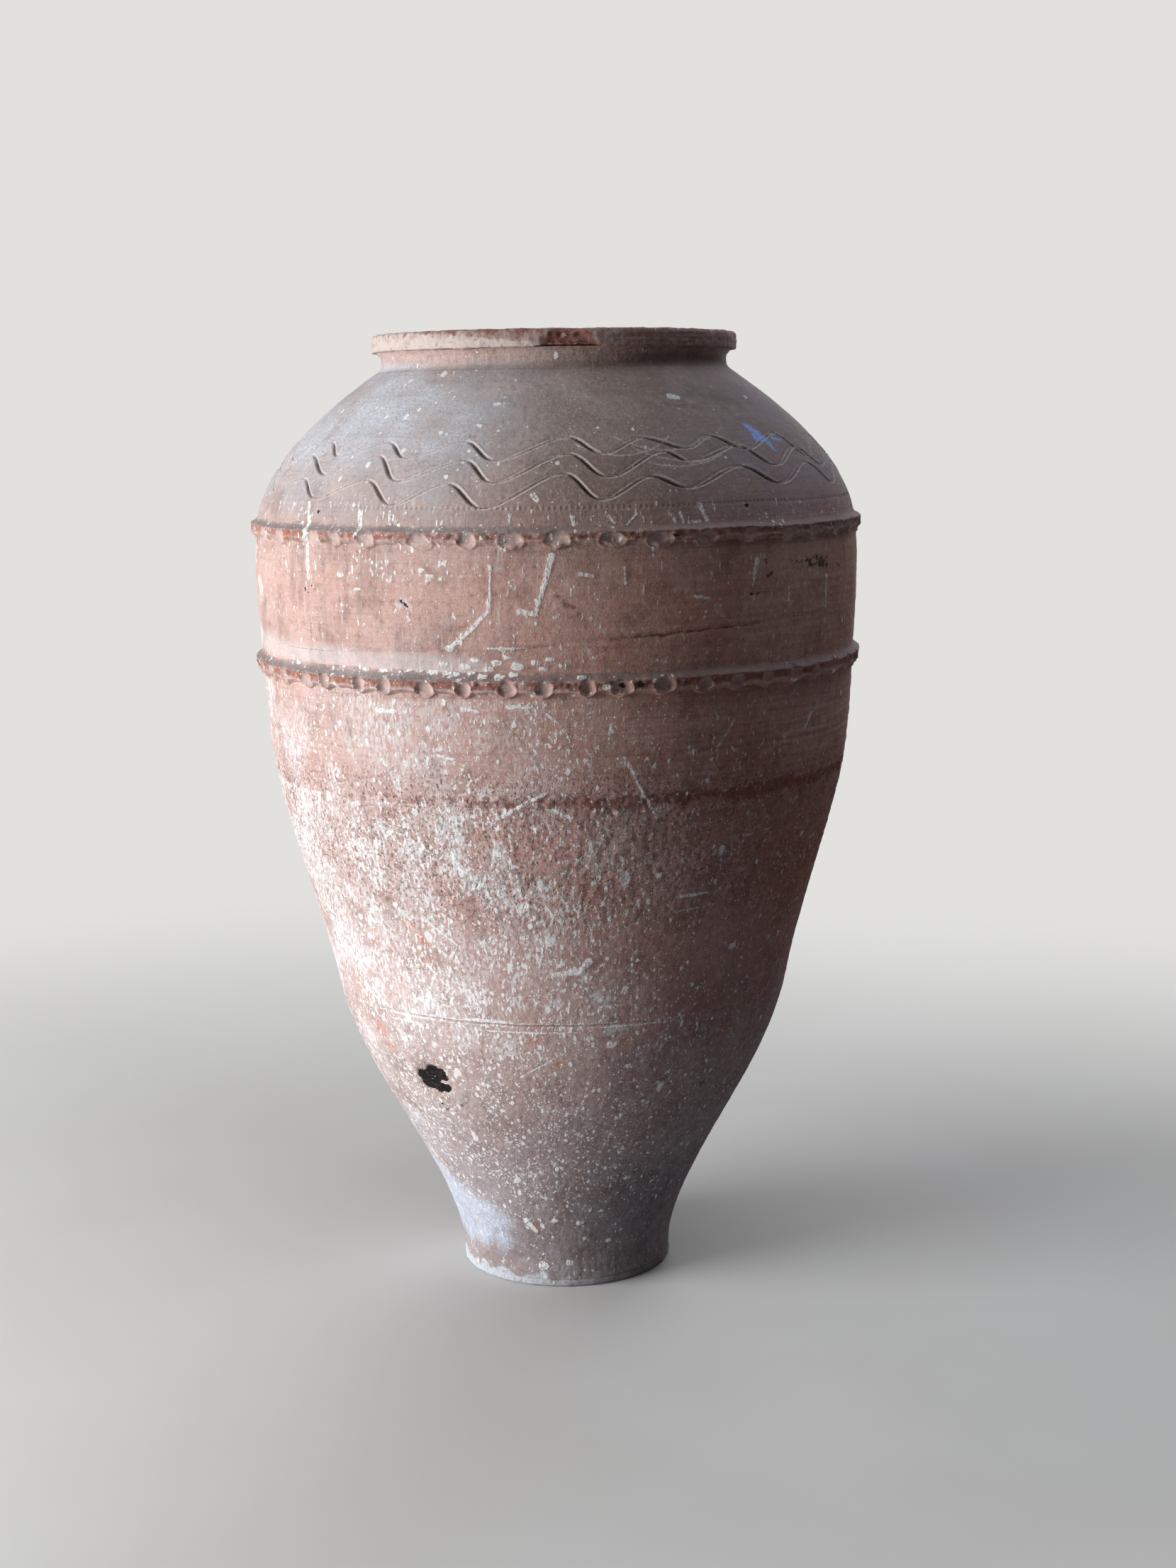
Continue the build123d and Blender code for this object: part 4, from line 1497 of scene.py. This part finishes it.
def pitch_points():
    """Points of the lump as rows from its front middle to its back middle."""
    radius, lean = wall_curve(HOLE_HEIGHT)
    slant = np.hypot(1, lean)
    turn = np.linspace(0, 2 * pi, PITCH_SPOKES, endpoint=False)
    rows = np.linspace(0, 1, PITCH_FRONT_ROWS), np.linspace(1, 0, PITCH_BACK_ROWS)
    share = np.concatenate(rows)[:, None]
    front = (np.arange(len(share)) < PITCH_FRONT_ROWS)[:, None]
    side = share * pitch_reach(turn) * np.cos(turn)
    up = share * pitch_reach(turn) * np.sin(turn)
    local = np.stack([side, up, 0 * up], -1)
    swell = 1.6 * noise(local, 12, 59) + 0.8 * noise(local, 5, 60)
    depth = np.where(front, PITCH_FRONT + swell * (1 - share ** 4) + 1.2, PITCH_BACK)
    base = radius + depth / slant + up * lean / slant
    height = HOLE_HEIGHT - depth * lean / slant + up / slant
    bow = np.hypot(base, side)
    facing = radians(HOLE_ANGLE) + np.arctan2(side, base)
    return np.stack([bow * np.sin(facing), -bow * np.cos(facing), height], -1)


def pitch_piece(material):
    """A lump of black pitch pressed into the hole."""
    points = pitch_points()
    index = np.arange(points.size // 3).reshape(points.shape[:2])
    ahead = np.roll(index, -1, 1)
    faces = np.stack([index[:-1], index[1:], ahead[1:], ahead[:-1]], -1).reshape(-1, 4)
    mesh = mesh_of("pitch_plug_mesh", points.reshape(-1, 3) * MM, faces)
    join_ends(mesh, index, outward=True)
    piece_of("pitch_plug_lump", mesh, [material], "pitch_plug")


foot_clay = weathered(
    "foot_clay", ("lime", "haze", "black", "ochre"), lime=0.9, flecks=0.6, haze=0.4, veil=0.65,
)
lower_clay = weathered(
    "lower_clay", ("lime", "haze", "ochre", "fresh"), lime=0.75, flecks=0.9, haze=1.0, torn=True,
)
waist_clay = weathered(
    "waist_clay", ("lime", "haze", "fresh"), lime=0.28, flecks=0.4, haze=0.75, lines=0.7, torn=True,
)
belly_clay = weathered(
    "belly_clay", ("lime", "haze", "film", "black", "smudge", "groove", "fresh"),
    lime=0.04, flecks=0.08, haze=0.12, lines=0.45,
)
shoulder_clay = weathered(
    "shoulder_clay", ("lime", "groove", "burr_and_highlight", "black", "blue", "fresh"), lime=0.07, dust=0.9, lines=0.45,
)
band_clay = weathered(
    "band_clay", ("fresh", "pale", "ochre", "hollow_dust_and_shade", "lime", "black"), lime=0.2, dust=0.5, dirt=0.4,
)
rim_clay = weathered("rim_clay", ("fresh", "pale"), lime=0.05, dust=0.9, dirt=0.15, lines=0.3)
base_clay = weathered("base_clay", lime=0.6, haze=0.8)

slab_piece(base_clay)
for node, low, high, size, relief, detail, material in (
    ("foot_wall", FOOT, FOOT_SEAM, 2.4, foot_relief, foot_detail, foot_clay),
    ("lower_wall", FOOT_SEAM, LOWER_SEAM, 2.2, lower_relief, lower_detail, lower_clay),
    ("waist_wall", LOWER_SEAM, WAIST_SEAM, 1.4, waist_relief, waist_detail, waist_clay),
    ("belly_wall", WAIST_SEAM, BELLY_SEAM, 1.6, belly_relief, belly_detail, belly_clay),
):
    wall_piece(node, course_section(low, high, size), WALL_COLUMNS, relief, detail, material)
wall_piece(
    "shoulder_wall", shoulder_section(), SHOULDER_COLUMNS, shoulder_relief, shoulder_detail, shoulder_clay,
)
lower_band(band_clay)
upper_band(band_clay)
neck_piece(rim_clay)
rim_piece(rim_clay)
floor_coil_piece()
for number, node in enumerate(["foot_seam_coil", "lower_seam_coil", "waist_seam_coil", "belly_seam_coil"]):
    coil_piece(node, 200 + 10 * number)
pitch_piece(old_pitch())


# Floor, light and camera

BACKDROP = tone(226, 225, 222)
FLOOR_COLOUR = tone(222, 220, 216)
FLOOR_BOUNCE = tone(134, 137, 143)
FLOOR_FADE = (0.5, 2.1)
WORLD_COLOUR, WORLD_STRENGTH = (0.8, 0.88, 1.0, 1.0), 0.02

# Soft lamps: name, place, the point each faces, size, power, colour and the spread of the beam in degrees
LAMPS = [
    ("window", (-2.5, -1.0, 0.85), (0, 0, 0.45), (1.8, 1.5), 91, (0.985, 0.99, 1.0), 180),
    ("sky", (0.5, -0.3, 2.9), (0, 0, 0.8), (1.8, 1.8), 20, (0.87, 0.92, 1.0), 180),
    ("low_fill", (-0.93, -1.03, 0.12), (0, 0, 0.26), (0.4, 0.3), 0.21, (0.97, 0.98, 1.0), 38),
    ("back", (0.8, 2.8, 1.1), (0, 0, 0.5), (2.0, 1.6), 42, (0.95, 0.97, 1.0), 180),
]


def floor_material():
    """Pale floor that keeps the jar's shadow and runs out into the backdrop's colour."""
    shader = Shader("pale_floor")
    away = shader.node("ShaderNodeVectorMath", {"operation": "LENGTH"}, Vector=shader.coords).outputs["Value"]
    seen = shader.node("ShaderNodeLightPath").outputs["Is Camera Ray"]
    glow = shader.node("ShaderNodeEmission", Color=BACKDROP)
    gone = shader.product(shader.step(away, *FLOOR_FADE), seen)
    shader.blend(gone, shader.surface, glow, "Material Output")
    cloud = shader.mix(shader.step(shader.noise(400, 3), 0.3, 0.7), FLOOR_COLOUR, BACKDROP)
    shader.colour = shader.mix(seen, FLOOR_BOUNCE, cloud)
    return shader.finish(0.9)


def floor_disc(radius=30.0, spokes=96):
    """A wide round floor under the jar."""
    turn = np.linspace(0, 2 * pi, spokes, endpoint=False)
    points = np.stack([radius * np.cos(turn), radius * np.sin(turn), 0 * turn], -1)
    mesh = bpy.data.meshes.new("floor_mesh")
    mesh.from_pydata(points.tolist(), [], [list(range(spokes))])
    mesh.materials.append(floor_material())
    placed("floor", mesh)


def area_lamp(name, place, aim, size, power, colour, spread):
    """A soft lamp turned to a point."""
    lamp = bpy.data.lights.new(name, "AREA")
    lamp.shape = "RECTANGLE"
    lamp.size, lamp.size_y = size
    lamp.energy = power
    lamp.color = colour
    lamp.spread = radians(spread)
    item = placed(name, lamp)
    item.location = place
    item.rotation_euler = (Vector(aim) - Vector(place)).to_track_quat("-Z", "Y").to_euler()


def daylight():
    """Even, faint light from all round, shown as the pale backdrop."""
    world = bpy.data.worlds.new("studio")
    world.use_nodes = True
    nodes = Nodes(world.node_tree)
    path = nodes.node("ShaderNodeLightPath").outputs
    seen = nodes.most(path["Is Camera Ray"], path["Is Glossy Ray"])
    show = nodes.node("ShaderNodeBackground", Color=BACKDROP)
    give = nodes.tree.nodes["Background"]
    give.inputs["Color"].default_value = WORLD_COLOUR
    give.inputs["Strength"].default_value = WORLD_STRENGTH
    nodes.blend(seen, give, show, "World Output")
    bpy.context.scene.world = world


CAMERA_PLACE = (0.0, -2.411, 0.919)
CAMERA_DOWN, CAMERA_RIGHT, CAMERA_ROLL = 9.3, 0.707, -0.75
LENS, SENSOR = 52.08, 36.0


def camera():
    """The photograph's view, from a little below the rim, looking down at the jar."""
    view = bpy.data.cameras.new("camera")
    view.lens = LENS
    view.sensor_width = SENSOR
    item = placed("camera", view)
    turn = Matrix.Rotation(radians(-CAMERA_RIGHT), 4, "Z")
    tilt = Matrix.Rotation(radians(90 - CAMERA_DOWN), 4, "X")
    roll = Matrix.Rotation(radians(CAMERA_ROLL), 4, "Z")
    item.matrix_world = Matrix.Translation(CAMERA_PLACE) @ turn @ tilt @ roll
    bpy.context.scene.camera = item


floor_disc()
for lamp in LAMPS:
    area_lamp(*lamp)
daylight()
camera()
bpy.context.scene.view_settings.view_transform = "Standard"
